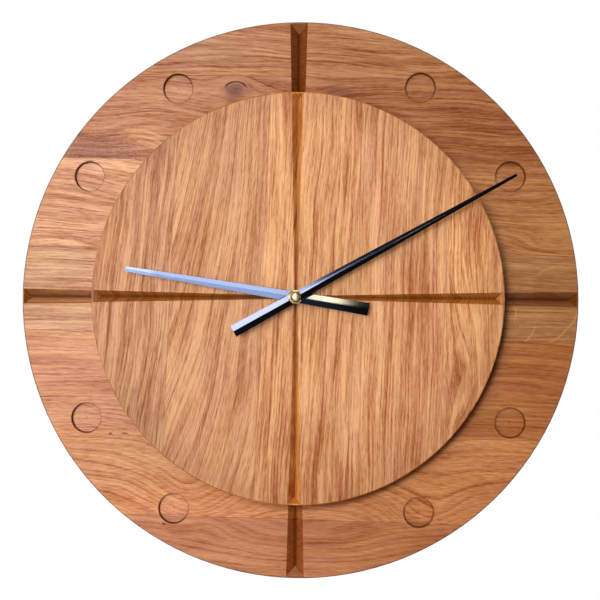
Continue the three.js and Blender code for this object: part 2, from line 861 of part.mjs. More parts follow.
function front_case() {
  const inner = rounded_rectangle(
    2 * case_inner_half_width, 2 * case_inner_half_height, case_corner_radius - case_wall);
  let shell = prism(case_outline(), cover_inside, case_front)
    .subtract(prism(inner, cover_inside - overrun, case_inside));
  const bay_wall_half = case_inner_half_width + case_wall / 2;
  shell = shell.add(block(
    [-bay_wall_half, bay_wall_y, cover_inside],
    [bay_wall_half, bay_wall_y + case_wall, case_inside + case_front_wall / 2]));
  const third_top = centre_wheel_level + wheel_width + 2 * train_space;
  const knob_top = motion_level + pinion_width + train_space;
  const root = case_inside + case_front_wall / 2;
  for (const [place, low, tip] of [
    [third_wheel_place, third_top + train_space, third_top + pivot_depth + 2 * train_space],
    [knob_place, knob_top + train_space, knob_top + pivot_depth + 2 * train_space],
  ]) {
    const [post, hole] = boss(place, low, root, low - overrun, Math.min(tip, case_inside));
    shell = shell.add(post).subtract(hole);
  }
  shell = shell.add(cylinder(pivot_radius, motion_level - train_space, root, minute_wheel_place));
  const bush_hole = bush_diameter / 2 + seat_gap;
  return shell.subtract(
    cylinder(bush_hole, case_inside - overrun, case_front + overrun, origin, round_facets));
}

function back_cover() {
  let cover = prism(case_outline(), case_back, cover_inside);
  const root = case_back + case_wall / 2;
  const bosses = [
    [origin, second_wheel_level],
    [third_wheel_place, third_wheel_level],
    [fifth_wheel_place, second_wheel_level - train_space],
  ];
  for (const [place, wheel_level] of bosses) {
    const top = wheel_level - train_space;
    const tip = wheel_level - pivot_depth - 2 * train_space;
    const [post, hole] = boss(place, root, top, tip, top + overrun);
    cover = cover.add(post).subtract(hole);
  }
  const rotor_tip = motor_level - pivot_depth / 2 - running_gap;
  const [rotor_post, rotor_hole] = boss(
    rotor_place, root, motor_level - train_space, rotor_tip, motor_level);
  cover = cover.add(rotor_post).subtract(rotor_hole);
  for (const x of leg_x) {
    const place = new THREE.Vector2(x, rotor_place.y);
    cover = cover.add(cylinder(stator_leg_width / 3, root, stator_level, place));
  }
  cover = cover.subtract(cylinder(
    knob_arbor_diameter / 2 + running_gap, case_back - overrun, cover_inside + overrun, knob_place));
  return cover.subtract(block(
    [-case_inner_half_width, -case_inner_half_height, case_back - overrun],
    [case_inner_half_width, bay_wall_y, cover_inside + overrun]));
}

function middle_plate() {
  const places = pillar_place_shares.map(
    ([x, y]) => new THREE.Vector2(x * case_half_width, y * case_half_height));
  const middle = new THREE.Vector2();
  for (const place of places) {
    middle.add(place);
  }
  middle.divideScalar(places.length);
  const corners = places.map((place) => {
    const outward = place.clone().sub(middle).setLength(plate_margin);
    return place.clone().add(outward).toArray();
  });
  const top = plate_level + plate_thickness;
  let plate = prism(polygon(corners), plate_level, top);
  for (const place of places) {
    plate = plate.add(cylinder(pillar_diameter / 2, plate_level, case_inside, place));
  }
  const cut = (radius, place) => cylinder(radius, plate_level - overrun, top + overrun, place);
  const pinion_tip = (third_pinion_teeth / 2 + tooth_tip_share) * train_module;
  return plate
    .subtract(cut(minute_arbor_diameter / 2 + running_gap, origin))
    .subtract(cut(pinion_tip + 2 * train_space, third_wheel_place))
    .subtract(cut(pivot_hole_radius, fifth_wheel_place))
    .subtract(cut(pivot_hole_radius, rotor_place))
    .subtract(cut(knob_arbor_diameter / 2 + 2 * train_space, knob_place));
}

// Bush through the discs, rubber washer behind them and fixing nut in front

function centre_bush() {
  const radius = bush_diameter / 2;
  const flange = bush_flange_diameter / 2;
  const low = case_inside - bush_flange_thickness;
  return turned([
    [bush_bore_radius, low],
    [flange, low],
    [flange, case_inside],
    [radius, case_inside],
    [radius, bush_top],
    [bush_bore_radius, bush_top],
    [bush_bore_radius, low],
  ], round_facets);
}

function rubber_washer() {
  const hole = bush_diameter / 2 + dial_hole_gap;
  return tube(washer_diameter / 2, hole, case_front, recess_floor, origin, round_facets);
}

function fixing_nut() {
  const corner = nut_across_flats / Math.sqrt(3);
  const hexagon = polygon([0, 1, 2, 3, 4, 5].map((side) => {
    const angle = side * Math.PI / 3;
    return [corner * Math.cos(angle), corner * Math.sin(angle)];
  }));
  const top = face_height + nut_thickness;
  const rounding = turned([
    [0, face_height - overrun],
    [corner, face_height - overrun],
    [corner, top - nut_chamfer],
    [nut_across_flats / 2, top],
    [0, top],
  ], round_facets);
  const hole = bush_diameter / 2 + seat_gap;
  return prism(hexagon, face_height, top)
    .intersect(rounding)
    .subtract(cylinder(hole, face_height - overrun, top + overrun, origin, round_facets));
}

// Hands: straight tapering blades with a ridge along the middle, flat round the hole

function hand(back, tail, tail_width, length, tip_width, ridge_share) {
  const section = (y, width) => {
    const half = width / 2;
    const edge = back + hand_edge_thickness;
    return [
      [-half, y, back],
      [half, y, back],
      [-half, y, edge],
      [half, y, edge],
      [0, y, edge + ridge_share * width],
    ];
  };
  return hull([...section(-tail, tail_width), ...section(length, tip_width)]);
}

function hub_width(tail, tail_width, length, tip_width) {
  return tail_width + (tip_width - tail_width) * tail / (tail + length);
}

function hour_bush_rise() {
  const width = hub_width(hour_hand_tail, hour_hand_tail_width, hour_hand_length, hour_hand_tip_width);
  return hour_hand_ridge_share * width + hand_bush_stand_out;
}

function hour_hand_bush() {
  const bore = hour_tube_diameter / 2 + seat_gap;
  const sleeve = bore + hand_bush_wall;
  const low = hour_hand_back - hand_bush_flange_thickness;
  const top = hour_hand_back + hand_edge_thickness + hour_bush_rise();
  return turned([
    [bore, low],
    [sleeve + hand_bush_flange, low],
    [sleeve + hand_bush_flange, hour_hand_back],
    [sleeve, hour_hand_back],
    [sleeve, top],
    [bore, top],
    [bore, low],
  ], round_facets);
}

function hour_hand() {
  const hole = hour_tube_diameter / 2 + 2 * seat_gap + hand_bush_wall;
  return hand(hour_hand_back, hour_hand_tail, hour_hand_tail_width,
    hour_hand_length, hour_hand_tip_width, hour_hand_ridge_share)
    .subtract(cylinder(
      hole, hour_hand_back - overrun, minute_hand_back, origin, round_facets))
    .rotate([0, 0, -hour_hand_angle]);
}

function minute_seat() {
  const width = hub_width(
    minute_hand_tail, minute_hand_tail_width, minute_hand_length, minute_hand_tip_width);
  return minute_hand_back + hand_edge_thickness + minute_hand_ridge_share * width
    - hand_seat_drop;
}

function minute_hand() {
  const seat = minute_seat();
  const seat_radius = cap_nut_diameter / 2 + seat_gap;
  const hole = minute_thread_diameter / 2 + seat_gap;
  return hand(minute_hand_back, minute_hand_tail, minute_hand_tail_width,
    minute_hand_length, minute_hand_tip_width, minute_hand_ridge_share)
    .subtract(cylinder(seat_radius, seat, seat + overrun, origin, round_facets))
    .subtract(cylinder(hole, minute_hand_back - overrun, seat + overrun, origin, round_facets))
    .rotate([0, 0, -minute_hand_angle]);
}

function cap_nut_total() {
  return minute_seat() - minute_hand_back + cap_nut_flange_thickness + cap_nut_bevel_height
    + cap_nut_dome_height - cap_nut_ring_drop;
}

// Brass cap nut: bevelled flange, sunk ring and a dome over the end of the thread
function minute_hand_nut() {
  const seat = minute_seat();
  const outer = cap_nut_diameter / 2;
  const rim = seat + cap_nut_flange_thickness;
  const crest = rim + cap_nut_bevel_height;
  const ring = cap_nut_ring_diameter / 2;
  const dome = cap_nut_dome_diameter / 2;
  const ring_floor = crest - cap_nut_ring_drop;
  const bore = minute_thread_diameter / 2 + seat_gap;
  const bore_end = minute_hand_back + cap_nut_total() - cap_nut_cover + seat_gap;
  const profile = [
    [0, bore_end],
    [bore, bore_end],
    [bore, seat],
    [outer, seat],
    [outer, rim],
    [(outer + ring) / 2, crest],
    [ring, crest],
    [dome, ring_floor],
  ];
  const steps = 5;
  for (let i = 1; i <= steps; i++) {
    const angle = i * Math.PI / 2 / steps;
    const radius = i === steps ? 0 : dome * Math.cos(angle);
    profile.push([radius, ring_floor + cap_nut_dome_height * Math.sin(angle)]);
  }
  return turned(profile, round_facets);
}

// Materials

function material(color, roughness, metalness) {
  return new THREE.MeshStandardMaterial({ color, roughness, metalness });
}

const dial_oak = [0xa8744a, 0x8a5a40, 0xb98550, 0xb58a5c, 0xb07a58, 0xb3835a, 0x9c6a48]
  .map((color) => material(color, 0.55, 0));
const raised_oak = [0xb88a58, 0xc0935e, 0xc39764, 0xbd8f5c, 0xbb8c5a]
  .map((color) => material(color, 0.5, 0));
const black_plastic = material(0x1c1c1e, 0.5, 0);
const white_plastic = material(0xe6e4dc, 0.5, 0);
const rubber = material(0x202020, 0.9, 0);
const brass = material(0xc8a452, 0.25, 1);
const steel = material(0xb9bcc0, 0.35, 1);
const black_lacquer = material(0x0b0c10, 0.08, 0.2);
const copper = material(0xb4622e, 0.4, 1);
const green_board = material(0x2f6b3c, 0.5, 0);
const resin = material(0x101010, 0.4, 0);
const ferrite = material(0x3a3a3c, 0.6, 0.3);
const battery_jacket = material(0x8c9299, 0.35, 0.4);

// Assembly

const clock = new THREE.Group();

function add(name, body, look) {
  const mesh = new THREE.Mesh(surface(body), look);
  mesh.name = name;
  clock.add(mesh);
}

const dial_boards = boards(dial_disc(), dial_radius, dial_seam_shares, true, dial_board_tilt, face_height);
dial_boards.forEach((board, i) => add(`dial_board_${i + 1}`, board, dial_oak[i]));

const raised_boards = boards(
  raised_disc(), raised_radius, raised_seam_shares, false, raised_board_tilt, face_height);
raised_boards.forEach((board, i) => add(`raised_board_${i + 1}`, board, raised_oak[i]));

add('hanger_plate', hanger_plate(), steel);
['left', 'right'].forEach((side, i) => {
  add(`hanger_screw_${side}`, hanger_screw(screw_places()[i]), steel);
});

add('movement_front_case', front_case(), black_plastic);
add('movement_back_cover', back_cover(), black_plastic);
add('middle_plate', middle_plate(), white_plastic);
add('rubber_washer', rubber_washer(), rubber);
add('centre_bush', centre_bush(), brass);
add('fixing_nut', fixing_nut(), brass);

add('centre_arbor', centre_arbor(), brass);
add('minute_wheel', minute_wheel(), white_plastic);
add('hour_wheel', hour_wheel(), white_plastic);
add('third_wheel', third_wheel(), white_plastic);
add('second_wheel', second_wheel(), white_plastic);
add('fifth_wheel', fifth_wheel(), white_plastic);
add('rotor', rotor(), ferrite);
add('setting_knob', setting_knob(), white_plastic);

add('stator', stator(), steel);
add('coil_core', coil_core(), steel);
add('coil_bobbin', coil_bobbin(), white_plastic);
add('coil_winding', coil_winding(), copper);
add('circuit_board', circuit_board(), green_board);
add('quartz_crystal', quartz_crystal(), steel);
add('chip_drop', chip_drop(), resin);
add('battery', battery(), battery_jacket);
add('positive_contact', positive_contact(), steel);
add('negative_contact', negative_contact(), steel);

add('hour_hand', hour_hand(), black_lacquer);
add('hour_hand_bush', hour_hand_bush(), brass);
add('minute_hand', minute_hand(), black_lacquer);
add('minute_hand_nut', minute_hand_nut(), brass);

// Stand the clock up and bring its hanging point to the origin
clock.rotation.x = Math.PI / 2;
clock.position.z = -hang_height;

const group = new THREE.Group();
group.add(clock);

export default group;
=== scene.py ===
"""The looks of the wooden wall clock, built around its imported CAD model.

Lengths are in metres, and in millimetres where a name ends in _MM or a comment says so.
The clock hangs from the origin, its back lies in the plane y = 0, and its face looks
along -Y.
"""

import json
import math

import bmesh
import bpy
from mathutils import Matrix, Vector

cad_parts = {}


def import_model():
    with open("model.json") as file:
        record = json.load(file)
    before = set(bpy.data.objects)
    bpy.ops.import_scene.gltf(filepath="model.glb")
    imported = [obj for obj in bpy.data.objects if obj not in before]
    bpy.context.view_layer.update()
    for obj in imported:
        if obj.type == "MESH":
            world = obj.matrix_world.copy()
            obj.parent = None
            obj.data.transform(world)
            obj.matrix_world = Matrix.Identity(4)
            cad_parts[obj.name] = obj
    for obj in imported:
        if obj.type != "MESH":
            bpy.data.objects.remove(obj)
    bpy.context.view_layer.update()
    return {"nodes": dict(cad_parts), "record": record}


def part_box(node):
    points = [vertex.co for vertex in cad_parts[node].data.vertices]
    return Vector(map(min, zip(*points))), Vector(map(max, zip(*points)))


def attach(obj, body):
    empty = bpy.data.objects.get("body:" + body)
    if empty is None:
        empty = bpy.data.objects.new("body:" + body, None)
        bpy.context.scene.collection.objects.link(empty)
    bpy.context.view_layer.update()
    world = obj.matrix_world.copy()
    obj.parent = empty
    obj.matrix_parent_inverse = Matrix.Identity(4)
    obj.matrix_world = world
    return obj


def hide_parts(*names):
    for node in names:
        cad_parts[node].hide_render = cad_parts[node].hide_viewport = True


MM = 0.001
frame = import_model()

# The clock's own places and sizes, as its CAD model has them
CENTRE_Z = -134.25 * MM
DISC_FRONT_MM, DISC_RADIUS_MM = -22.0, 200.0
RAISED_FRONT_MM, RAISED_RADIUS_MM = -37.0, 145.0
POCKET_FLOOR_MM, POCKET_RADIUS_MM, POCKET_CIRCLE_MM = -19.5, 11.0, 175.3
HUB = Vector((0, DISC_FRONT_MM * MM, CENTRE_Z))

# The stage
FLOOR_Z = -0.60
FLOOR_RADIUS = 0.70


# ---------------------------------------------------------------- node helpers


class Nodes:
    """A node tree, with shorthands for the nodes that are added to it."""

    def __init__(self, tree):
        self.tree = tree
        tree.nodes.clear()

    def node(self, kind, **settings):
        made = self.tree.nodes.new(kind)
        for key, value in settings.items():
            setattr(made, key, value)
        return made

    def feed(self, socket, source):
        if isinstance(source, bpy.types.NodeSocket):
            self.tree.links.new(source, socket)
        else:
            socket.default_value = source

    def math(self, operation, *terms, clamp=False):
        made = self.node("ShaderNodeMath", operation=operation, use_clamp=clamp)
        for socket, term in zip(made.inputs, terms):
            self.feed(socket, term)
        return made.outputs[0]

    def chain(self, operation, terms):
        value = terms[0]
        for term in terms[1:]:
            value = self.math(operation, value, term)
        return value

    def total(self, *terms):
        return self.chain("ADD", terms)

    def product(self, *terms):
        return self.chain("MULTIPLY", terms)

    def greatest(self, *terms):
        return self.chain("MAXIMUM", terms)

    def magnitude(self, value):
        return self.math("ABSOLUTE", value)

    def clamped(self, value):
        return self.math("ADD", value, 0.0, clamp=True)

    def scaled(self, source, middle, amount):
        """(source - middle) * amount."""
        return self.product(self.math("SUBTRACT", source, middle), amount)

    def step(self, source, start, end, low=0.0, high=1.0):
        """A smooth step from low at start to high at end."""
        made = self.node("ShaderNodeMapRange", interpolation_type="SMOOTHSTEP")
        for socket, value in zip(made.inputs, (source, start, end, low, high)):
            self.feed(socket, value)
        return made.outputs[0]

    def place(self):
        return self.node("ShaderNodeTexCoord").outputs["Object"]

    def mapping(self, vector, location=(0, 0, 0), turn=(0, 0, 0), scale=(1, 1, 1), kind="POINT"):
        made = self.node("ShaderNodeMapping", vector_type=kind)
        self.feed(made.inputs["Vector"], vector)
        made.inputs["Location"].default_value = location
        made.inputs["Rotation"].default_value = turn
        made.inputs["Scale"].default_value = scale
        return made.outputs[0]

    def noise(self, vector, scale=1.0, detail=2.0, roughness=0.5):
        made = self.node("ShaderNodeTexNoise")
        self.feed(made.inputs["Vector"], vector)
        made.inputs["Scale"].default_value = scale
        made.inputs["Detail"].default_value = detail
        made.inputs["Roughness"].default_value = roughness
        return made.outputs[0]

    def stretched(self, vector, lengths, **settings):
        """Noise whose grains have the given lengths along the three axes."""
        scale = tuple(1 / length for length in lengths)
        return self.noise(self.mapping(vector, scale=scale), **settings)

    def split(self, vector):
        made = self.node("ShaderNodeSeparateXYZ")
        self.feed(made.inputs[0], vector)
        return made.outputs

    def joined(self, x, y, z):
        made = self.node("ShaderNodeCombineXYZ")
        for socket, value in zip(made.inputs, (x, y, z)):
            self.feed(socket, value)
        return made.outputs[0]

    def length(self, vector):
        made = self.node("ShaderNodeVectorMath", operation="LENGTH")
        self.feed(made.inputs[0], vector)
        return made.outputs["Value"]

    def facing(self, direction):
        """The cosine between the surface's normal and a direction of the clock."""
        made = self.node("ShaderNodeVectorMath", operation="DOT_PRODUCT")
        normal = self.node("ShaderNodeNewGeometry").outputs["Normal"]
        self.feed(made.inputs[0], normal)
        made.inputs[1].default_value = direction
        return made.outputs["Value"]

    def mix(self, share, first, second, blend="MIX"):
        made = self.node("ShaderNodeMix", data_type="RGBA", blend_type=blend)
        self.feed(made.inputs[0], share)
        for socket, colour in ((made.inputs[6], first), (made.inputs[7], second)):
            if isinstance(colour, tuple):
                colour = (*colour, 1.0)
            self.feed(socket, colour)
        return made.outputs[2]

    def shaded(self, share, colour, factors):
        """A colour multiplied by factors where share is 1."""
        return self.mix(share, colour, factors, blend="MULTIPLY")


class Paint(Nodes):
    """A node material around one Principled shader."""

    def __init__(self, name, **constants):
        self.material = bpy.data.materials.new(name)
        self.material.use_nodes = True
        super().__init__(self.material.node_tree)
        self.shader = self.node("ShaderNodeBsdfPrincipled")
        self.output = self.node("ShaderNodeOutputMaterial")
        self.feed(self.output.inputs["Surface"], self.shader.outputs["BSDF"])
        for socket, value in constants.items():
            self.shader.inputs[socket.replace("_", " ")].default_value = value

    def paint(self, socket, source):
        """Feed one socket of the shader."""
        self.feed(self.shader.inputs[socket], source)

    def bump(self, height, strength, distance):
        made = self.node("ShaderNodeBump")
        made.inputs["Strength"].default_value = strength
        made.inputs["Distance"].default_value = distance
        self.feed(made.inputs["Height"], height)
        self.paint("Normal", made.outputs[0])


# ---------------------------------------------------------------- oak boards

# How the lightest and the darkest wood of a board differ from its tint
LIGHT, DARK = (1.38, 1.85, 3.2), (0.57, 0.35, 0.13)
# Painted shade on a groove's sides: how much darker they are at the clock's left and right
DIAL_GROOVE_SHADE = ((0.86, 0.78, 0.58), (0.50, 0.41, 0.30))
RAISED_GROOVE_SHADE = ((0.78, 0.70, 0.50), (0.74, 0.66, 0.46))
MIDDLE_GROOVE_SHADE = ((1.0, 0.86, 0.55), (1.0, 0.86, 0.55))
# Colours that don't follow the board's tint
# The first darkens each pocket floor's edge ring and centre mark; the second is burn and painted
# shade on the pocket walls
DARK_FLOOR_MARKS, BURNT_AND_SHADED_WALL = (0.04, 0.014, 0.005), (0.17, 0.06, 0.016)
BARK, RIM = (0.055, 0.024, 0.015), (0.06, 0.03, 0.02)
# Shades of the tint, and factors on whatever colour lies there
# The middle one is painted shade round the pocket lips
PALE_STREAK, PAINTED_LIP_SHADE, CREASE = (1.6, 2.2, 3.2), (0.40, 0.21, 0.09), (0.26, 0.16, 0.06)
# A painted highlight on the raised disc's arris, painted shade towards its edge and a painted
# shadow at its foot
PAINTED_ARRIS_HIGHLIGHT, PAINTED_EDGE_SHADE, PAINTED_FOOT_SHADOW = (1.3, 1.3, 1.15), (0.86, 0.79, 0.64), (0.18, 0.12, 0.09)
# How far through a board the hills of its rings and its marks reach
HILL_DEPTH_MM, MARK_DEPTH_MM = 90, 60
RAY_BEND = 2.2
# The oil's gloss on the darkest wood, what it gains to the lightest and loses on sawn ends
GLOSS, GLOSS_GAIN, GLOSS_LOSS = 0.36, 0.85, 0.85
# How metallic the silky wood is, and its roughness
SILKY, ROUGH = 0.16, 0.47


def times(colour, factors):
    return tuple(c * f for c, f in zip(colour, factors))


class Oak(Paint):
    """Oiled oak of one board, in millimetres from the clock's centre.

    tint is its middle colour, grain the slope of its fibres in degrees, spacing the
    width of a growth ring, and seed tells the boards apart. The rings are the level
    lines of a field across the board, which slow noise (sway), hills and a fan bend.
    ring, fibre, streak and flame are the strengths of the figure's parts, and contrast
    that of the whole. hills, marks, rays and knots lie where the photo shows them.
    end_share and end_shade are for sawn ends; groove is the painted shade on the carved grooves'
    sides, and crease how dark their bottom lines are.
    """

    def __init__(self, name, tint, grain, spacing, seed, contrast=1.0, sway=1.0, ring=0.35,
                 fibre=1.5, streak=1.9, flame=1.2, sheen=1.0, fan=None, hills=(), marks=(),
                 rays=(), knots=(), end_share=0.8, end_shade=(0.60, 0.50, 0.34),
                 crease=0.75, groove=DIAL_GROOVE_SHADE):
        super().__init__(name, Anisotropic=0.85, Specular_Tint=(1.0, 0.96, 0.92, 1.0))
        self.tint, self.seed, self.angle = tint, seed, math.radians(grain)
        self.here = self.mapping(self.place(), location=(0, 0, -CENTRE_Z / MM),
                                 scale=(1 / MM, 1 / MM, 1 / MM))
        self.plank = self.mapping(self.here, turn=(0, self.angle, 0))
        self.own = self.mapping(self.plank, location=(seed * 97, seed * 31, seed * 53))
        self.x, self.depth, self.z = self.split(self.here)
        self.reach = self.length(self.mapping(self.here, scale=(1, 0, 1)))
        self.front = self.facing((0, -1, 0))
        self.shake = self.stretched(self.own, (55, 12, 12), detail=2, roughness=0.6)
        self.matt = []

        tone = self.figure(self.field(sway, fan, hills), spacing, contrast,
                           (ring, fibre, streak, flame))
        colour = self.wood(tone)
        for fleck in rays:
            colour = self.mix(self.ray(*fleck), colour, times(tint, PALE_STREAK))
        for mark in marks:
            colour = self.marked(colour, *mark)
        for knot in knots:
            colour = self.knotted(colour, *knot)
        colour = self.with_pockets(colour)
        lengthwise = (math.cos(self.angle), 0, math.sin(self.angle))
        ends = self.step(self.magnitude(self.facing(lengthwise)), 0.45, 0.7)
        colour = self.mix(self.product(ends, end_share), colour, self.sawn(end_shade))
        colour = self.with_raised_edge(colour)
        colour = self.with_grooves(colour, groove, crease)
        colour = self.with_rim(colour)
        self.paint("Base Color", colour)

        dull = self.greatest(*self.matt)
        self.paint("Metallic", self.math("MULTIPLY_ADD", dull, -SILKY, SILKY))
        self.paint("Specular IOR Level", self.product(
            self.math("MULTIPLY_ADD", tone, GLOSS_GAIN * sheen, GLOSS * sheen),
            self.math("MULTIPLY_ADD", ends, -GLOSS_LOSS, 1.0),
            self.math("SUBTRACT", 1.0, dull)))
        self.paint("Roughness", self.total(ROUGH, self.scaled(self.fine, 0.5, 0.14),
                                           self.product(self.pores, 0.16)))
        # The sheen runs across the grain
        self.paint("Tangent", self.joined(-math.sin(self.angle), 0.0, math.cos(self.angle)))
        self.bump(self.total(self.product(self.pores, -0.8), self.fine,
                             self.product(self.early, -0.35)), 0.25, 0.25 * MM)

    def spot(self, middle, size, turn=0.0, through=MARK_DEPTH_MM):
        """The place seen from a spot's middle, in shares of the spot's half sizes."""
        return self.mapping(self.here, location=(middle[0], 0, middle[1]),
                            turn=(0, math.radians(turn), 0), scale=(size[0], through, size[1]),
                            kind="TEXTURE")

    def field(self, sway, fan, hills):
        """The field across the board whose level lines are the growth rings."""
        self.along, _, across = self.split(self.plank)
        drift = self.stretched(self.own, (150, 60, 50), detail=2)
        if fan:
            # The rings lean less and less from the board's left edge to its right edge
            low, left, left_slope, right, right_slope = fan
            slope = self.node("ShaderNodeMapRange")
            for socket, value in zip(slope.inputs, (self.x, left, right, left_slope, right_slope)):
                self.feed(socket, value)
            lean = self.product(self.math("SUBTRACT", self.z, low), slope.outputs[0])
            across = self.math("SUBTRACT", self.x, lean)
        field = self.total(across, self.product(self.depth, 0.8),
                           self.scaled(drift, 0.5, 26 * sway),
                           self.scaled(self.shake, 0.5, 2.6 * sway))
        for middle, size, height in hills:
            far = self.length(self.spot(middle, size, through=HILL_DEPTH_MM))
            power = self.product(self.math("POWER", far, 2.0), -1.0)
            field = self.total(field, self.product(self.math("EXPONENT", power), height))
        return field

    def figure(self, field, spacing, contrast, strengths):
        """How light the wood is, from 0 to 1, by rings, streaks, flames, fibres and pores."""
        uneven = self.noise(self.joined(self.product(field, 1 / 11), self.seed, 0.5), detail=1)
        rings = self.math("MULTIPLY_ADD", field, 1 / spacing, self.product(uneven, 2.4))
        year = self.node("ShaderNodeTexWhiteNoise", noise_dimensions="1D")
        self.feed(year.inputs["W"], self.math("FLOOR", rings))
        strong = self.math("MULTIPLY_ADD", year.outputs["Value"], 0.8, 0.2)
        self.early = self.product(self.step(self.math("FRACT", rings), 0.0, 0.5, 1.0, 0.0), strong)
        # Streaks and flames follow the rings, fibres and pores the length of the tree
        self.flow = self.joined(self.along, field, self.seed * 71)
        lines = self.stretched(self.flow, (60, 2.0, 1), detail=3, roughness=0.6)
        flames = self.stretched(self.flow, (85, 7, 1), detail=2)
        clouds = self.stretched(self.own, (90, 25, 22), detail=2)
        self.fine = self.stretched(self.own, (8, 0.55, 0.55), detail=2, roughness=0.7)
        pores = self.step(self.stretched(self.own, (5, 0.36, 0.36), detail=1), 0.56, 0.68)
        self.pores = self.product(pores, self.math("MULTIPLY_ADD", self.early, 0.7, 0.3))
        ring, fibre, streak, flame = (s * contrast for s in strengths)
        return self.clamped(self.total(
            0.53,
            self.scaled(self.early, 0.25, -ring),
            self.scaled(self.fine, 0.5, fibre),
            self.scaled(lines, 0.5, streak),
            self.scaled(flames, 0.5, flame),
            self.scaled(clouds, 0.5, 0.5 * contrast),
            self.product(self.pores, -0.45 * contrast),
        ))

    def wood(self, tone):
        """The plain wood's colour, rosy in some streaks and golden in others."""
        light, dark = times(self.tint, LIGHT), times(self.tint, DARK)
        blush = self.noise(self.mapping(self.flow, location=(0, 7, 40), scale=(1 / 70, 1 / 5, 1)),
                           detail=2)
        rosy = self.mix(tone, times(dark, (1.0, 0.97, 1.15)), times(light, (0.99, 0.96, 1.0)))
        golden = self.mix(tone, times(dark, (1.04, 1.04, 0.75)), times(light, (1.01, 1.03, 0.9)))
        return self.mix(self.step(blush, 0.38, 0.62), rosy, golden)

    def ray(self, start, end, half_width):
        """How much of a ray fleck or pale streak, a thin bent line, lies at a place."""
        across, down = end[0] - start[0], end[1] - start[1]
        spot = self.spot(((start[0] + end[0]) / 2, (start[1] + end[1]) / 2),
                         (math.hypot(across, down) / 2, half_width),
                         turn=-math.degrees(math.atan2(down, across)))
        along, _, aside = self.split(spot)
        aside = self.total(aside, self.product(along, along, RAY_BEND))
        return self.product(self.step(self.magnitude(aside), 1.5, 0.2),
                            self.step(self.magnitude(along), 1.1, 0.8), 0.6)

    def marked(self, colour, middle, size, turn, shade, speckle):
        """A lighter or darker area with a soft edge that speckle frays."""
        speck = self.noise(self.here, scale=0.9, detail=3, roughness=0.6)
        edge = self.total(self.length(self.spot(middle, size, turn)),
                          self.scaled(self.shake, 0.5, 0.6), self.scaled(speck, 0.5, speckle))
        return self.shaded(self.step(edge, 1.25, 0.45), colour, shade)

    def knotted(self, colour, middle, size):
        """A small knot: a dark arc of bark over rings of darker wood."""
        spot = self.spot(middle, size)
        out = self.total(self.length(spot), self.scaled(self.shake, 0.5, 0.25))
        bark = self.product(
            self.step(self.magnitude(self.math("SUBTRACT", out, 1.0)), 0.15, 0.03),
            self.step(self.split(spot)[2], 0.0, 0.55))
        self.matt.append(bark)
        colour = self.mix(self.product(bark, 0.9), colour, BARK)
        rings = self.math("MULTIPLY_ADD", self.math("SINE", self.product(out, 20.0)), 0.5, 0.5)
        inner = self.product(rings, self.step(out, 1.0, 0.7, 0.0, 0.45))
        return self.shaded(inner, colour, (0.60, 0.50, 0.50))

    def pocket_distance(self):
        """How far a place of the dial lies from the middle of the nearest hour's pocket."""
        turn = self.product(self.math("ARCTAN2", self.x, self.z), 6 / math.pi)
        hour = self.math("ROUND", turn)
        off = self.product(self.math("SUBTRACT", turn, hour), math.pi / 6)
        outwards = self.math("SUBTRACT", self.product(self.reach, self.math("COSINE", off)),
                             POCKET_CIRCLE_MM)
        aside = self.product(self.reach, self.math("SINE", off))
        distance = self.length(self.joined(outwards, aside, 0.0))
        # No pockets at 12, 3, 6 and 9
        quarter = self.math("FRACT", self.math("DIVIDE", hour, 3.0))
        quarter = self.magnitude(self.math("SUBTRACT", quarter, 0.5))
        return self.total(distance, self.step(quarter, 0.3, 0.4, 0.0, 100.0))

    def with_pockets(self, colour):
        """Pocket floors have a dark centre mark and a dark edge ring, and a painted sheen towards
        the clock's left; walls are burnt and carry painted shade, and lips a brown painted shade.
        """
        out = self.pocket_distance()
        near = self.step(out, POCKET_RADIUS_MM + 0.6, POCKET_RADIUS_MM + 0.2)
        sunk = self.product(
            self.step(self.depth, DISC_FRONT_MM + 0.4, DISC_FRONT_MM + 0.8),
            self.step(self.depth, POCKET_FLOOR_MM + 2.0, POCKET_FLOOR_MM + 1.6), near)
        # A dark ring at each floor's edge and a dark mark at its centre
        floor_marks = self.product(sunk, self.greatest(
            self.step(out, POCKET_RADIUS_MM - 1.1, POCKET_RADIUS_MM - 0.3),
            self.step(out, 0.9, 0.3, 0.0, 0.5)))
        # The pocket walls are darkened: partly burn from cutting, partly painted shade
        wall_burn_and_shade = self.product(
            self.step(self.front, 0.9, 0.6),
            self.step(self.depth, POCKET_FLOOR_MM + 0.9, POCKET_FLOOR_MM + 0.4), near)
        # Painted shade: a brown band round each pocket's lip on the dial's face
        lip_shade = self.product(
            self.step(out, POCKET_RADIUS_MM + 0.5, POCKET_RADIUS_MM - 0.1),
            self.step(self.depth, DISC_FRONT_MM + 0.7, DISC_FRONT_MM + 0.4, 0.0, 0.6))
        self.matt += [floor_marks, wall_burn_and_shade, lip_shade]
        # Painted sheen: pocket floors paler and bluer towards the clock's left, a little darker at
        # its right
        floor_sheen = self.mix(self.step(self.x, -150.0, 60.0),
                               (1.05, 1.09, 1.4), (0.99, 0.96, 0.98))
        colour = self.shaded(sunk, colour, floor_sheen)
        colour = self.mix(lip_shade, colour, times(self.tint, PAINTED_LIP_SHADE))
        colour = self.mix(self.product(floor_marks, 0.88), colour, DARK_FLOOR_MARKS)
        return self.mix(self.product(wall_burn_and_shade, 0.8), colour, BURNT_AND_SHADED_WALL)

    def sawn(self, shade):
        """The colour of sawn end grain."""
        fuzz = self.noise(self.mapping(self.plank, scale=(0.3, 0.3, 0.9)), detail=3, roughness=0.7)
        return self.mix(self.step(fuzz, 0.36, 0.62),
                        times(self.tint, times(shade, (0.74, 0.71, 0.65))),
                        times(self.tint, times(shade, (1.25, 1.25, 1.25))))

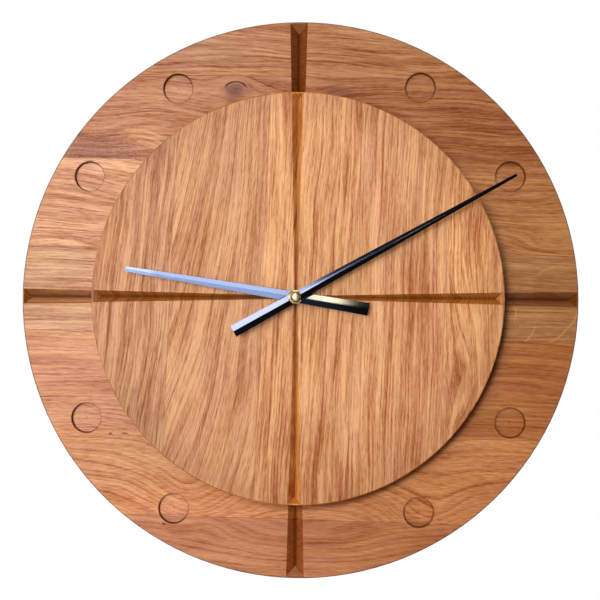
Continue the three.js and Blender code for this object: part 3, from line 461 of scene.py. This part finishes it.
    def with_raised_edge(self, colour):
        """The raised disc's arris has a painted highlight, its face painted shade towards the edge,
        and a painted shadow lies on the dial at its foot, mostly at the lower right."""
        # Painted highlight: the raised disc's arris is lightened all round
        arris_highlight = self.product(
            self.step(self.reach, RAISED_RADIUS_MM - 1.2, RAISED_RADIUS_MM - 0.8),
            self.step(self.depth, RAISED_FRONT_MM + 1.2, RAISED_FRONT_MM + 0.8),
            self.step(self.front, 0.98, 0.9))
        colour = self.shaded(arris_highlight, colour, PAINTED_ARRIS_HIGHLIGHT)
        # Painted shade: the raised disc's face darkens over its outer 28 mm
        edge = self.product(
            self.step(self.reach, RAISED_RADIUS_MM - 29.0, RAISED_RADIUS_MM - 1.0),
            self.step(self.depth, RAISED_FRONT_MM + 7.0, RAISED_FRONT_MM + 3.0),
            self.step(self.front, 0.9, 0.98))
        colour = self.shaded(edge, colour, PAINTED_EDGE_SHADE)
        # Painted shadow: a dark band on the dial at the raised disc's foot, strongest at the lower
        # right
        lower_right = self.total(self.product(self.x, 0.77), self.product(self.z, -0.64))
        foot_shadow = self.product(
            self.step(lower_right, 40.0, 140.0, 0.0, 0.9),
            self.step(self.reach, RAISED_RADIUS_MM + 8.0, RAISED_RADIUS_MM + 3.5),
            self.step(self.depth, DISC_FRONT_MM - 0.6, DISC_FRONT_MM - 0.2),
            self.step(self.depth, DISC_FRONT_MM + 4.0, DISC_FRONT_MM + 3.0))
        self.matt.append(foot_shadow)
        return self.shaded(foot_shadow, colour, PAINTED_FOOT_SHADOW)

    def with_grooves(self, colour, groove, crease):
        """Painted shade darkens a groove's sides, by its own amounts at the clock's left and right,
        and its bottom line is darker.
        """
        upright = self.step(self.magnitude(self.facing((1, 0, 0))), 0.45, 0.6)
        aside = self.mix(upright, self.magnitude(self.z), self.magnitude(self.x))
        slanted = self.product(self.step(self.front, 0.9, 0.8), self.step(self.front, 0.5, 0.6))
        # Painted shade: the groove's sides are multiplied darker, from the left factors to the
        # right ones
        shade = self.mix(self.step(self.x, -120.0, 170.0), *groove)
        colour = self.shaded(slanted, colour, shade)
        line = self.product(self.step(aside, 2.4, 0.0, 0.0, crease), slanted)
        self.matt += [self.product(slanted, 0.5), line]
        return self.mix(line, colour, times(self.tint, CREASE))

    def with_rim(self, colour):
        """The outer disc's front arris is dark."""
        rim = self.product(
            self.step(self.reach, DISC_RADIUS_MM - 1.0, DISC_RADIUS_MM - 0.7),
            self.step(self.front, 0.99, 0.8),
            self.step(self.depth, DISC_FRONT_MM + 1.8, DISC_FRONT_MM + 0.8), 0.8)
        return self.mix(rim, colour, RIM)


OAK = {
    "dial_board_1": Oak(
        "oak_dial_1", (0.365, 0.117, 0.027), -3.5, 3.2, 1.3, 0.9, 1.0, sheen=0.55,
        marks=[((-75, 176), (60, 16), 0, (0.87, 0.87, 0.90), 0.3)],
        end_share=0.95, end_shade=(0.70, 0.66, 0.80)),
    "dial_board_2": Oak(
        "oak_dial_2", (0.335, 0.099, 0.021), -2.0, 3.8, 2.1, 0.95, 1.0, sheen=0.6,
        end_share=0.95, end_shade=(0.70, 0.66, 0.80),
        hills=[((8, 148), (28, 11), 9), ((-102, 130), (30, 14), -7), ((-44.6, 143), (15, 7), 6),
               ((-44.6, 158), (15, 7), -6)],
        marks=[((-150, 106), (44, 19), 6, (0.76, 0.65, 0.66), 2.2),
               ((-150, 104), (36, 13), 6, (0.74, 0.66, 0.68), 3.0),
               ((-108, 119), (26, 13), -4, (1.15, 1.25, 1.4), 1.6),
               ((-44.6, 149.0), (15, 11.5), 0, (0.84, 0.76, 0.74), 0.5),
               ((-46.3, 147.5), (7, 9), 0, (0.84, 0.72, 0.68), 0.5),
               ((-46.3, 150.6), (9.8, 6.4), 0, (0.60, 0.50, 0.58), 0.8),
               ((30, 149), (15, 4.5), 8, (0.72, 0.60, 0.68), 1.0)],
        rays=[((-126.5, 123.7), (-98.5, 117.9), 0.9), ((-121.5, 119.3), (-96.3, 112.2), 0.8),
              ((-117.2, 115), (-98.5, 108.6), 0.9), ((-111.4, 111.4), (-100.7, 106.4), 0.7)],
        knots=[((-45.6, 151.3), (8.4, 5.6))]),
    "dial_board_3": Oak(
        "oak_dial_3", (0.42, 0.135, 0.027), -3.0, 2.6, 3.4, 0.97, 0.7, streak=1.6,
        hills=[((-95, 78), (50, 26), 10), ((-166, 43), (38, 6), -5), ((188, 39), (28, 7), 10)],
        marks=[((-120, 89), (36, 16), 8, (1.10, 1.18, 1.28), 0.6),
               ((170, 60), (55, 45), 0, (0.94, 0.91, 0.86), 0.2)]),
    "dial_board_4": Oak(
        "oak_dial_4", (0.38, 0.131, 0.026), -2.0, 2.2, 4.2, 0.76, 0.5,
        marks=[((170, -5), (55, 45), 0, (0.95, 0.92, 0.90), 0.2)],
        rays=[((156.2, -5.7), (155.4, -16.5), 0.6), ((170.3, -19.3), (163.1, -31), 0.65),
              ((200.4, -8.6), (193, -21), 0.7), ((193, -21), (180, -31.5), 0.7),
              ((171.5, 19.6), (184, 24), 0.65)]),
    "dial_board_5": Oak(
        "oak_dial_5", (0.385, 0.103, 0.016), -3.0, 3.0, 5.7, 0.75, 0.7, fibre=1.8, streak=1.6,
        marks=[((170, -68), (55, 45), 0, (0.95, 0.94, 0.88), 0.2)]),
    "dial_board_6": Oak(
        "oak_dial_6", (0.475, 0.150, 0.033), -1.5, 3.4, 6.1, 0.76, 0.8, sheen=0.45,
        ring=0.4, fibre=2.0, streak=1.0, flame=0.9, end_shade=(0.95, 0.98, 1.7),
        hills=[((-75, -146), (36, 26), 26), ((95, -160), (34, 30), 24), ((150, -148), (20, 8), 8)],
        marks=[((-130, -115), (70, 32), 0, (0.87, 0.93, 1.04), 0.2),
               ((-133.9, -98.7), (1.7, 0.9), 0, (0.2, 0.15, 0.15), 0.5),
               ((-123.6, -98.4), (3.2, 0.7), 3, (0.25, 0.2, 0.2), 0.5)]),
    "dial_board_7": Oak(
        "oak_dial_7", (0.37, 0.102, 0.0195), -1.0, 4.0, 7.9, 0.75, 0.8, sheen=0.65, streak=1.2,
        end_shade=(0.95, 0.98, 1.7),
        hills=[((0, -178), (95, 40), 24), ((-60, -162), (22, 9), -8)],
        marks=[((-94.5, -162.7), (1.8, 1.2), 0, (0.2, 0.15, 0.15), 0.5)]),
    "raised_board_1": Oak(
        "oak_raised_1", (0.42, 0.143, 0.032), 84, 2.4, 8.3, 1.0, 0.8,
        end_share=0.5, crease=0.5, groove=RAISED_GROOVE_SHADE,
        marks=[((-106, 101), (38, 10), -45, (0.80, 0.74, 0.72), 1.2),
               ((-94, 72), (14, 3), -82, (1.15, 1.25, 1.4), 0.8),
               # This mark lifts the painted edge shade back at the upper left
               ((-134, 40), (15, 34), 0, (1.18, 1.20, 1.25), 0.3),
               ((-115, -80), (32, 50), 0, (0.90, 0.87, 0.80), 0.3)]),
    "raised_board_2": Oak(
        "oak_raised_2", (0.44, 0.145, 0.029), 80, 2.8, 9.6, 0.95, 0.6, fibre=1.7, streak=1.7,
        fan=(-60, -89, 0.38, -24, 0.08), end_share=0.5, crease=0.5, groove=RAISED_GROOVE_SHADE,
        marks=[((-106, 101), (38, 10), -45, (0.80, 0.74, 0.72), 1.2),
               ((-55, 95), (35, 50), 0, (0.93, 0.91, 0.90), 0.3),
               ((-55, -95), (35, 50), 0, (0.98, 0.94, 0.84), 0.3)]),
    "raised_board_3": Oak(
        "oak_raised_3", (0.50, 0.169, 0.031), 87, 2.8, 10.2, 1.0, 0.8, flame=1.5,
        end_share=0.5, crease=0.4, groove=MIDDLE_GROOVE_SHADE),
    "raised_board_4": Oak(
        "oak_raised_4", (0.52, 0.180, 0.038), 88, 2.2, 11.5, 0.92, 0.55,
        end_share=0.5, crease=0.5, groove=RAISED_GROOVE_SHADE,
        marks=[((45, 100), (35, 40), 0, (0.94, 0.92, 0.90), 0.3)]),
    "raised_board_5": Oak(
        "oak_raised_5", (0.53, 0.182, 0.037), 88, 3.0, 12.4, 1.1, 0.8,
        end_share=0.5, crease=0.5, groove=RAISED_GROOVE_SHADE,
        hills=[((122, -48), (13, 52), 17)],
        marks=[((105, 72), (32, 34), 0, (1.09, 1.11, 1.12), 0.3),
               ((117, 36), (24, 34), 0, (1.15, 1.18, 1.20), 0.3),
               ((105, -75), (32, 50), 0, (0.92, 0.91, 0.87), 0.3)]),
}


# ---------------------------------------------------------------- other materials

DOME_RADIUS = 2.5 * MM
# The hour hand points this way from the hub at rest, and lies behind this gap
HOUR_HAND_SIDE, HOUR_HAND_RISE = -0.987, 0.160
HANDS_GAP = (-44.0 * MM, -43.7 * MM)
WIRE = 0.11 * MM


def brass():
    """Polished brass; the small dome at the clock's centre is satin."""
    p = Paint("brass", Metallic=1.0)
    place = p.mapping(p.place(), location=(0, 0, -CENTRE_Z))
    marks = p.noise(place, scale=2200, detail=3, roughness=0.65)
    stain = p.noise(place, scale=320, detail=2)
    tone = p.total(p.scaled(marks, 0.5, 0.5), p.scaled(stain, 0.5, 1.1))
    tone = p.math("ADD", tone, 0.5, clamp=True)
    dome = p.step(p.length(p.mapping(place, scale=(1, 0, 1))),
                  DOME_RADIUS + 0.25 * MM, DOME_RADIUS + 0.05 * MM)
    pale = p.mix(tone, (0.76, 0.58, 0.32), (0.90, 0.76, 0.52))
    deep = p.mix(tone, (0.36, 0.25, 0.11), (0.48, 0.36, 0.19))
    p.paint("Base Color", p.mix(dome, deep, pale))
    p.paint("Roughness", p.total(0.07, p.scaled(marks, 0.5, 0.06), p.product(dome, 0.33)))
    p.bump(marks, 0.03, 0.02 * MM)
    return p.material


def zinc():
    """Zinc-plated steel with faint spangles and a brushed grain."""
    p = Paint("zinc_plated_steel", Metallic=1.0)
    place = p.place()
    spangle = p.node("ShaderNodeTexVoronoi")
    p.feed(spangle.inputs["Vector"], place)
    spangle.inputs["Scale"].default_value = 520
    cells = p.split(spangle.outputs["Color"])[0]
    brush = p.noise(p.mapping(place, scale=(300, 4000, 4000)), detail=3)
    tone = p.clamped(p.total(0.5, p.scaled(cells, 0.5, 0.2), p.scaled(brush, 0.5, 0.45)))
    p.paint("Base Color", p.mix(tone, (0.42, 0.42, 0.42), (0.68, 0.69, 0.70)))
    p.paint("Roughness", p.total(0.34, p.scaled(cells, 0.5, 0.14)))
    p.bump(brush, 0.10, 0.05 * MM)
    return p.material


def plastic(name, dark, light, rough, grain=3500, bump=0.15):
    """A moulded or cast material between two colours, with a fine grain."""
    p = Paint(name)
    place = p.place()
    fine = p.noise(place, scale=grain, detail=2, roughness=0.6)
    cloud = p.noise(place, scale=60, detail=2)
    tone = p.clamped(p.total(0.5, p.scaled(fine, 0.5, 0.8), p.scaled(cloud, 0.5, 0.9)))
    p.paint("Base Color", p.mix(tone, dark, light))
    p.paint("Roughness", p.total(rough, p.scaled(fine, 0.5, 0.18)))
    p.bump(fine, bump, 0.06 * MM)
    return p.material


def lacquer():
    """Black gloss lacquer, whose reflections are bluish.

    The hour hand's tail is dull on its lower facet and towards its end, and its tip is
    the glossiest.
    """
    p = Paint("black_lacquer", IOR=1.9, Specular_Tint=(0.70, 0.75, 1.0, 1.0))
    place = p.place()
    x, y, z = p.split(p.mapping(place, location=(0, 0, -CENTRE_Z)))
    outwards = p.total(p.product(x, HOUR_HAND_SIDE), p.product(z, HOUR_HAND_RISE))
    upwards = p.total(p.product(x, HOUR_HAND_RISE), p.product(z, -HOUR_HAND_SIDE))
    hour = p.step(y, *HANDS_GAP)
    lower = p.step(upwards, 0.1 * MM, -0.1 * MM)
    end = p.step(outwards, -28.0 * MM, -48.0 * MM, 0.0, 0.85)
    tail = p.product(p.step(outwards, -1.5 * MM, -4.0 * MM), p.greatest(lower, end))
    tip = p.step(outwards, 98.0 * MM, 106.0 * MM)
    gloss = p.total(p.product(tail, -0.68), p.product(tip, 0.3))
    p.paint("Specular IOR Level", p.math("MULTIPLY_ADD", gloss, hour, 0.7))
    peel = p.noise(place, scale=900, detail=2)
    specks = p.step(p.noise(place, scale=5200, detail=1), 0.66, 0.74)
    p.paint("Base Color", p.mix(specks, (0.002, 0.002, 0.003), (0.010, 0.010, 0.011)))
    p.paint("Roughness", p.total(0.11, p.scaled(peel, 0.5, 0.06)))
    p.bump(peel, 0.03, 0.05 * MM)
    return p.material


def copper():
    """Enamelled copper wire, wound turn by turn."""
    p = Paint("copper_wire", Metallic=1.0)
    place = p.place()
    turns = p.math("SINE", p.product(p.split(place)[0], 2 * math.pi / WIRE))
    soft = p.noise(place, scale=700, detail=2)
    tone = p.clamped(p.total(0.5, p.product(turns, 0.3), p.scaled(soft, 0.5, 0.6)))
    p.paint("Base Color", p.mix(tone, (0.42, 0.12, 0.04), (0.86, 0.40, 0.20)))
    p.paint("Roughness", p.total(0.28, p.scaled(soft, 0.5, 0.1)))
    p.bump(turns, 0.5, 0.05 * MM)
    return p.material


SLOTS = {
    "zinc_steel": zinc(),
    "black_plastic": plastic("black_plastic", (0.010, 0.010, 0.011), (0.026, 0.026, 0.028), 0.46),
    "white_plastic": plastic("white_plastic", (0.70, 0.68, 0.62), (0.84, 0.82, 0.77), 0.38,
                             bump=0.06),
    "rubber": plastic("rubber", (0.008, 0.008, 0.008), (0.022, 0.022, 0.022), 0.75, bump=0.3),
    "brass": brass(),
    "magnet": plastic("bonded_ferrite", (0.035, 0.035, 0.038), (0.07, 0.07, 0.075), 0.55,
                      bump=0.3),
    "copper": copper(),
    "green_board": plastic("circuit_laminate", (0.02, 0.11, 0.04), (0.04, 0.19, 0.07), 0.35,
                           grain=1800),
    "resin": plastic("cast_resin", (0.004, 0.004, 0.004), (0.010, 0.010, 0.010), 0.14, bump=0.04),
    "battery_jacket": plastic("battery_jacket", (0.20, 0.23, 0.26), (0.30, 0.33, 0.36), 0.30,
                              bump=0.05),
    "black_lacquer": lacquer(),
}


# ---------------------------------------------------------------- pieces

BODY_OF = {n: body for body, names in frame["record"]["behaviour"]["bodies"].items() for n in names}
WELD = 0.002 * MM
FLAT_DEGREES = 0.6
LACQUERED_SMOOTH_DEGREES, NUT_SMOOTH_DEGREES = 8, 14
LACQUERED_ARRIS = 0.05 * MM

# The fittings that show from the back or between the hands, and how far their arrises are eased
EASED = {
    "movement_back_cover": 0.15 * MM, "setting_knob": 0.12 * MM, "battery": 0.15 * MM,
    "hanger_plate": 0.15 * MM, "hanger_screw_left": 0.08 * MM, "hanger_screw_right": 0.08 * MM,
    "fixing_nut": 0.12 * MM, "hour_hand_bush": 0.04 * MM,
}


def placed(mesh, node, material, smooth):
    """Put a mesh in the place of a CAD node.

    Faces that meet at more than the smooth angle, in degrees, keep a sharp edge.
    """
    mesh.shade_smooth()
    mesh.set_sharp_from_angle(angle=math.radians(smooth))
    mesh.materials.append(material)
    mesh.update()
    piece = bpy.data.objects.new(node + "_piece", mesh)
    bpy.context.scene.collection.objects.link(piece)
    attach(piece, BODY_OF[node])
    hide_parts(node)


def dressed(node, material, smooth=30, arris=0.0):
    """A piece with the form of a CAD node: its curves shaded evenly, its arrises eased."""
    source = frame["nodes"][node].data
    form = bmesh.new()
    form.from_mesh(source)
    bmesh.ops.remove_doubles(form, verts=form.verts, dist=WELD)
    form.normal_update()
    if arris:
        bmesh.ops.dissolve_limit(form, angle_limit=math.radians(FLAT_DEGREES), verts=form.verts,
                                 edges=form.edges)
        limit = math.radians(smooth)
        sharp = [e for e in form.edges if len(e.link_faces) == 2 and e.calc_face_angle() > limit]
        bmesh.ops.bevel(form, geom=sharp, offset=arris, offset_type="OFFSET", segments=2,
                        profile=0.5, affect="EDGES", clamp_overlap=True)
    form.verts.index_update()
    points = [v.co.copy() for v in form.verts]
    faces = [[v.index for v in f.verts] for f in form.faces]
    form.free()
    mesh = bpy.data.meshes.new(node + "_form")
    mesh.from_pydata(points, [], faces)
    placed(mesh, node, material, smooth)


def lathed(name, rings, columns=64):
    """A closed form around the hub's axis from rings of (radius, y, corners) in millimetres.

    A ring with corners is a regular polygon, one with none is round.
    """
    form = bmesh.new()
    loops = []
    for radius, y, corners in rings:
        loop = []
        for i in range(columns):
            turn = 2 * math.pi * (i + 0.5) / columns
            reach = radius
            if corners:
                half = math.pi / corners
                reach *= math.cos(half) / math.cos((turn + half) % (2 * half) - half)
            point = (reach * math.cos(turn) * MM, y * MM, reach * math.sin(turn) * MM + CENTRE_Z)
            loop.append(form.verts.new(point))
        loops.append(loop)
    for one, other in zip(loops, loops[1:]):
        for i in range(columns):
            j = (i + 1) % columns
            form.faces.new((one[i], other[i], other[j], one[j]))
    form.faces.new(loops[0])
    form.faces.new(list(reversed(loops[-1])))
    bmesh.ops.recalc_face_normals(form, faces=form.faces)
    mesh = bpy.data.meshes.new(name)
    form.to_mesh(mesh)
    form.free()
    return mesh


def cap_nut(node, material):
    """The brass cap nut: an eight-sided flange with a bevel, a groove and a shallow dome.

    All its lengths are in millimetres, and its front looks to smaller y.
    """
    low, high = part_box(node)
    seat, crown = high[1] / MM, low[1] / MM
    outer = (high[0] - low[0]) / 2 / MM
    bore, dome, peak = 1.45, DOME_RADIUS / MM, 0.05
    chamfer, flange, bevel = 0.25, 1.25, 0.8
    crest = seat - 1.75
    groove = crest + 0.5
    rings = [
        (bore, seat, 0), (outer - chamfer, seat, 8), (outer, seat - chamfer, 8),
        (outer, seat - flange, 8), (outer - bevel, crest, 8), (outer - 0.95, crest - 0.02, 8),
        (3.35, crest, 0), (3.2, crest + 0.1, 0), (2.75, groove, 0), (2.6, groove - 0.08, 0)]
    side = (groove + crown) / 2
    steps = 9
    for i in range(steps):
        turn = i / steps * math.pi / 2
        rings.append((dome * math.cos(turn) ** 0.8, side + (crown - side) * math.sin(turn), 0))
    rings.append((peak, crown, 0))
    placed(lathed(node + "_form", rings), node, material, NUT_SMOOTH_DEGREES)


for name in frame["nodes"]:
    slot_name = frame["nodes"][name].data.materials[0].name
    if name in OAK:
        dressed(name, OAK[name].material)
    elif name == "minute_hand_nut":
        cap_nut(name, SLOTS[slot_name])
    elif slot_name == "black_lacquer":
        dressed(name, SLOTS[slot_name], LACQUERED_SMOOTH_DEGREES, LACQUERED_ARRIS)
    elif name in EASED:
        dressed(name, SLOTS[slot_name], arris=EASED[name])
    else:
        frame["nodes"][name].material_slots[0].material = SLOTS[slot_name]


# ---------------------------------------------------------------- stage, light and camera

# The camera, fitted to the photo's pockets, rims and hub: angles in degrees, lens in millimetres
AZIMUTH, ELEVATION, ROLL = -2.245, -1.395, 0.438
CAMERA_DISTANCE, LENS, SENSOR = 0.5994, 50.08, 36
AIM = HUB + Vector((2.21 * MM, 0, -1.475 * MM))

# The light of the room itself
ROOM = (0.10, 0.097, 0.092)

# The softboxes: direction from the hub, distance, width, height, radiance and colour
LIGHTS = {
    "key": ((-0.44, -0.878, 0.188), 1.9, 0.532, 1.44, 6.2),
    "key_low": ((-0.21, -0.977, 0.045), 1.9, 0.342, 0.893, 6.2),
    "top": ((-0.05, -0.50, 0.865), 1.9, 1.2, 0.7, 2.8),
    "left_card": ((-0.91, -0.41, 0.03), 1.9, 0.35, 0.45, 2.5, (1.0, 0.93, 0.78)),
    "right_card": ((0.65, -0.41, 0.64), 1.9, 0.35, 0.35, 1.3, (0.85, 0.95, 1.15)),
    "blue_card": ((-0.1475, -0.909, 0.39), 1.9, 0.58, 0.418, 5.4, (0.73, 0.87, 1.08)),
    "low_fill": ((-0.28, -0.914, -0.29), 1.9, 1.0, 0.42, 2.9, (0.78, 1.0, 1.3)),
    "gold_card": ((0.058, -0.93, 0.36), 1.2, 0.085, 0.15, 11.0, (1.0, 0.86, 0.45)),
    "back_and_floor": ((0.25, 0.7, 0.65), 2.0, 1.4, 1.4, 3.8),
    "left_side": ((-0.95, 0.16, 0.26), 1.9, 0.9, 0.9, 2.4),
    "right_side": ((0.95, 0.16, 0.26), 1.9, 0.9, 0.9, 2.4),
}


def floor():
    """A pale round floor that fades into the white background."""
    mesh = bpy.data.meshes.new("floor")
    form = bmesh.new()
    bmesh.ops.create_circle(form, cap_ends=True, segments=96, radius=FLOOR_RADIUS)
    form.to_mesh(mesh)
    form.free()
    piece = bpy.data.objects.new("floor", mesh)
    piece.location = (0, 0, FLOOR_Z)
    bpy.context.scene.collection.objects.link(piece)
    p = Paint("floor", Roughness=0.9, Specular_IOR_Level=0.1)
    place = p.place()
    grit = p.noise(place, scale=40, detail=2)
    p.paint("Base Color", p.mix(grit, (0.84, 0.84, 0.83), (0.88, 0.88, 0.87)))
    path = p.node("ShaderNodeLightPath").outputs
    seen = p.greatest(path["Is Camera Ray"], path["Is Glossy Ray"], path["Is Transmission Ray"])
    far = p.step(p.length(place), 0.35 * FLOOR_RADIUS, 0.95 * FLOOR_RADIUS)
    white = p.node("ShaderNodeEmission")
    both = p.node("ShaderNodeMixShader")
    p.feed(both.inputs[0], p.product(seen, far))
    p.feed(both.inputs[1], p.shader.outputs[0])
    p.feed(both.inputs[2], white.outputs[0])
    p.feed(p.output.inputs["Surface"], both.outputs[0])
    mesh.materials.append(p.material)


def world():
    """White for the camera, a grey room for soft light, and in mirrors a dark room
    in front of the clock with the white background behind it."""
    made = bpy.data.worlds.new("studio")
    made.use_nodes = True
    nodes = Nodes(made.node_tree)
    path = nodes.node("ShaderNodeLightPath").outputs
    place = nodes.split(nodes.node("ShaderNodeTexCoord").outputs["Generated"])
    behind = nodes.step(place[1], -0.08, 0.12, 0.012, 1.0)
    mirrored = nodes.mix(path["Is Glossy Ray"], ROOM, behind)
    seen = nodes.greatest(path["Is Camera Ray"], path["Is Transmission Ray"])
    background = nodes.node("ShaderNodeBackground")
    nodes.feed(background.inputs["Color"], nodes.mix(seen, mirrored, (1.0, 1.0, 1.0)))
    output = nodes.node("ShaderNodeOutputWorld")
    nodes.feed(output.inputs["Surface"], background.outputs[0])
    bpy.context.scene.world = made


def softbox(name, direction, distance, width, height, radiance, colour=(1, 1, 1)):
    """A soft rectangular light that looks at the hub from a direction."""
    light = bpy.data.lights.new(name, "AREA")
    light.shape = "RECTANGLE"
    light.size, light.size_y = width, height
    light.energy = radiance * 4 * width * height
    light.color = colour
    thing = bpy.data.objects.new(name, light)
    towards = Vector(direction).normalized()
    thing.location = HUB + towards * distance
    thing.rotation_euler = towards.to_track_quat("Z", "Y").to_euler()
    thing.visible_camera = False
    bpy.context.scene.collection.objects.link(thing)


def camera():
    """The camera that looks at the clock as the photo does."""
    azimuth, elevation, roll = (math.radians(a) for a in (AZIMUTH, ELEVATION, ROLL))
    forward = Vector((math.sin(azimuth) * math.cos(elevation),
                      math.cos(azimuth) * math.cos(elevation), -math.sin(elevation)))
    level = forward.cross(Vector((0, 0, 1))).normalized()
    upright = level.cross(forward)
    right = level * math.cos(roll) + upright * math.sin(roll)
    up = upright * math.cos(roll) - level * math.sin(roll)
    lens = bpy.data.cameras.new("camera")
    lens.lens = LENS
    lens.sensor_width = SENSOR
    lens.clip_start = 0.01
    thing = bpy.data.objects.new("camera", lens)
    turn = Matrix((right, up, -forward)).transposed().to_4x4()
    thing.matrix_world = Matrix.Translation(AIM - forward * CAMERA_DISTANCE) @ turn
    bpy.context.scene.collection.objects.link(thing)
    bpy.context.scene.camera = thing


floor()
world()
for name, settings in LIGHTS.items():
    softbox(name, *settings)
camera()
bpy.context.scene.view_settings.view_transform = "Standard"
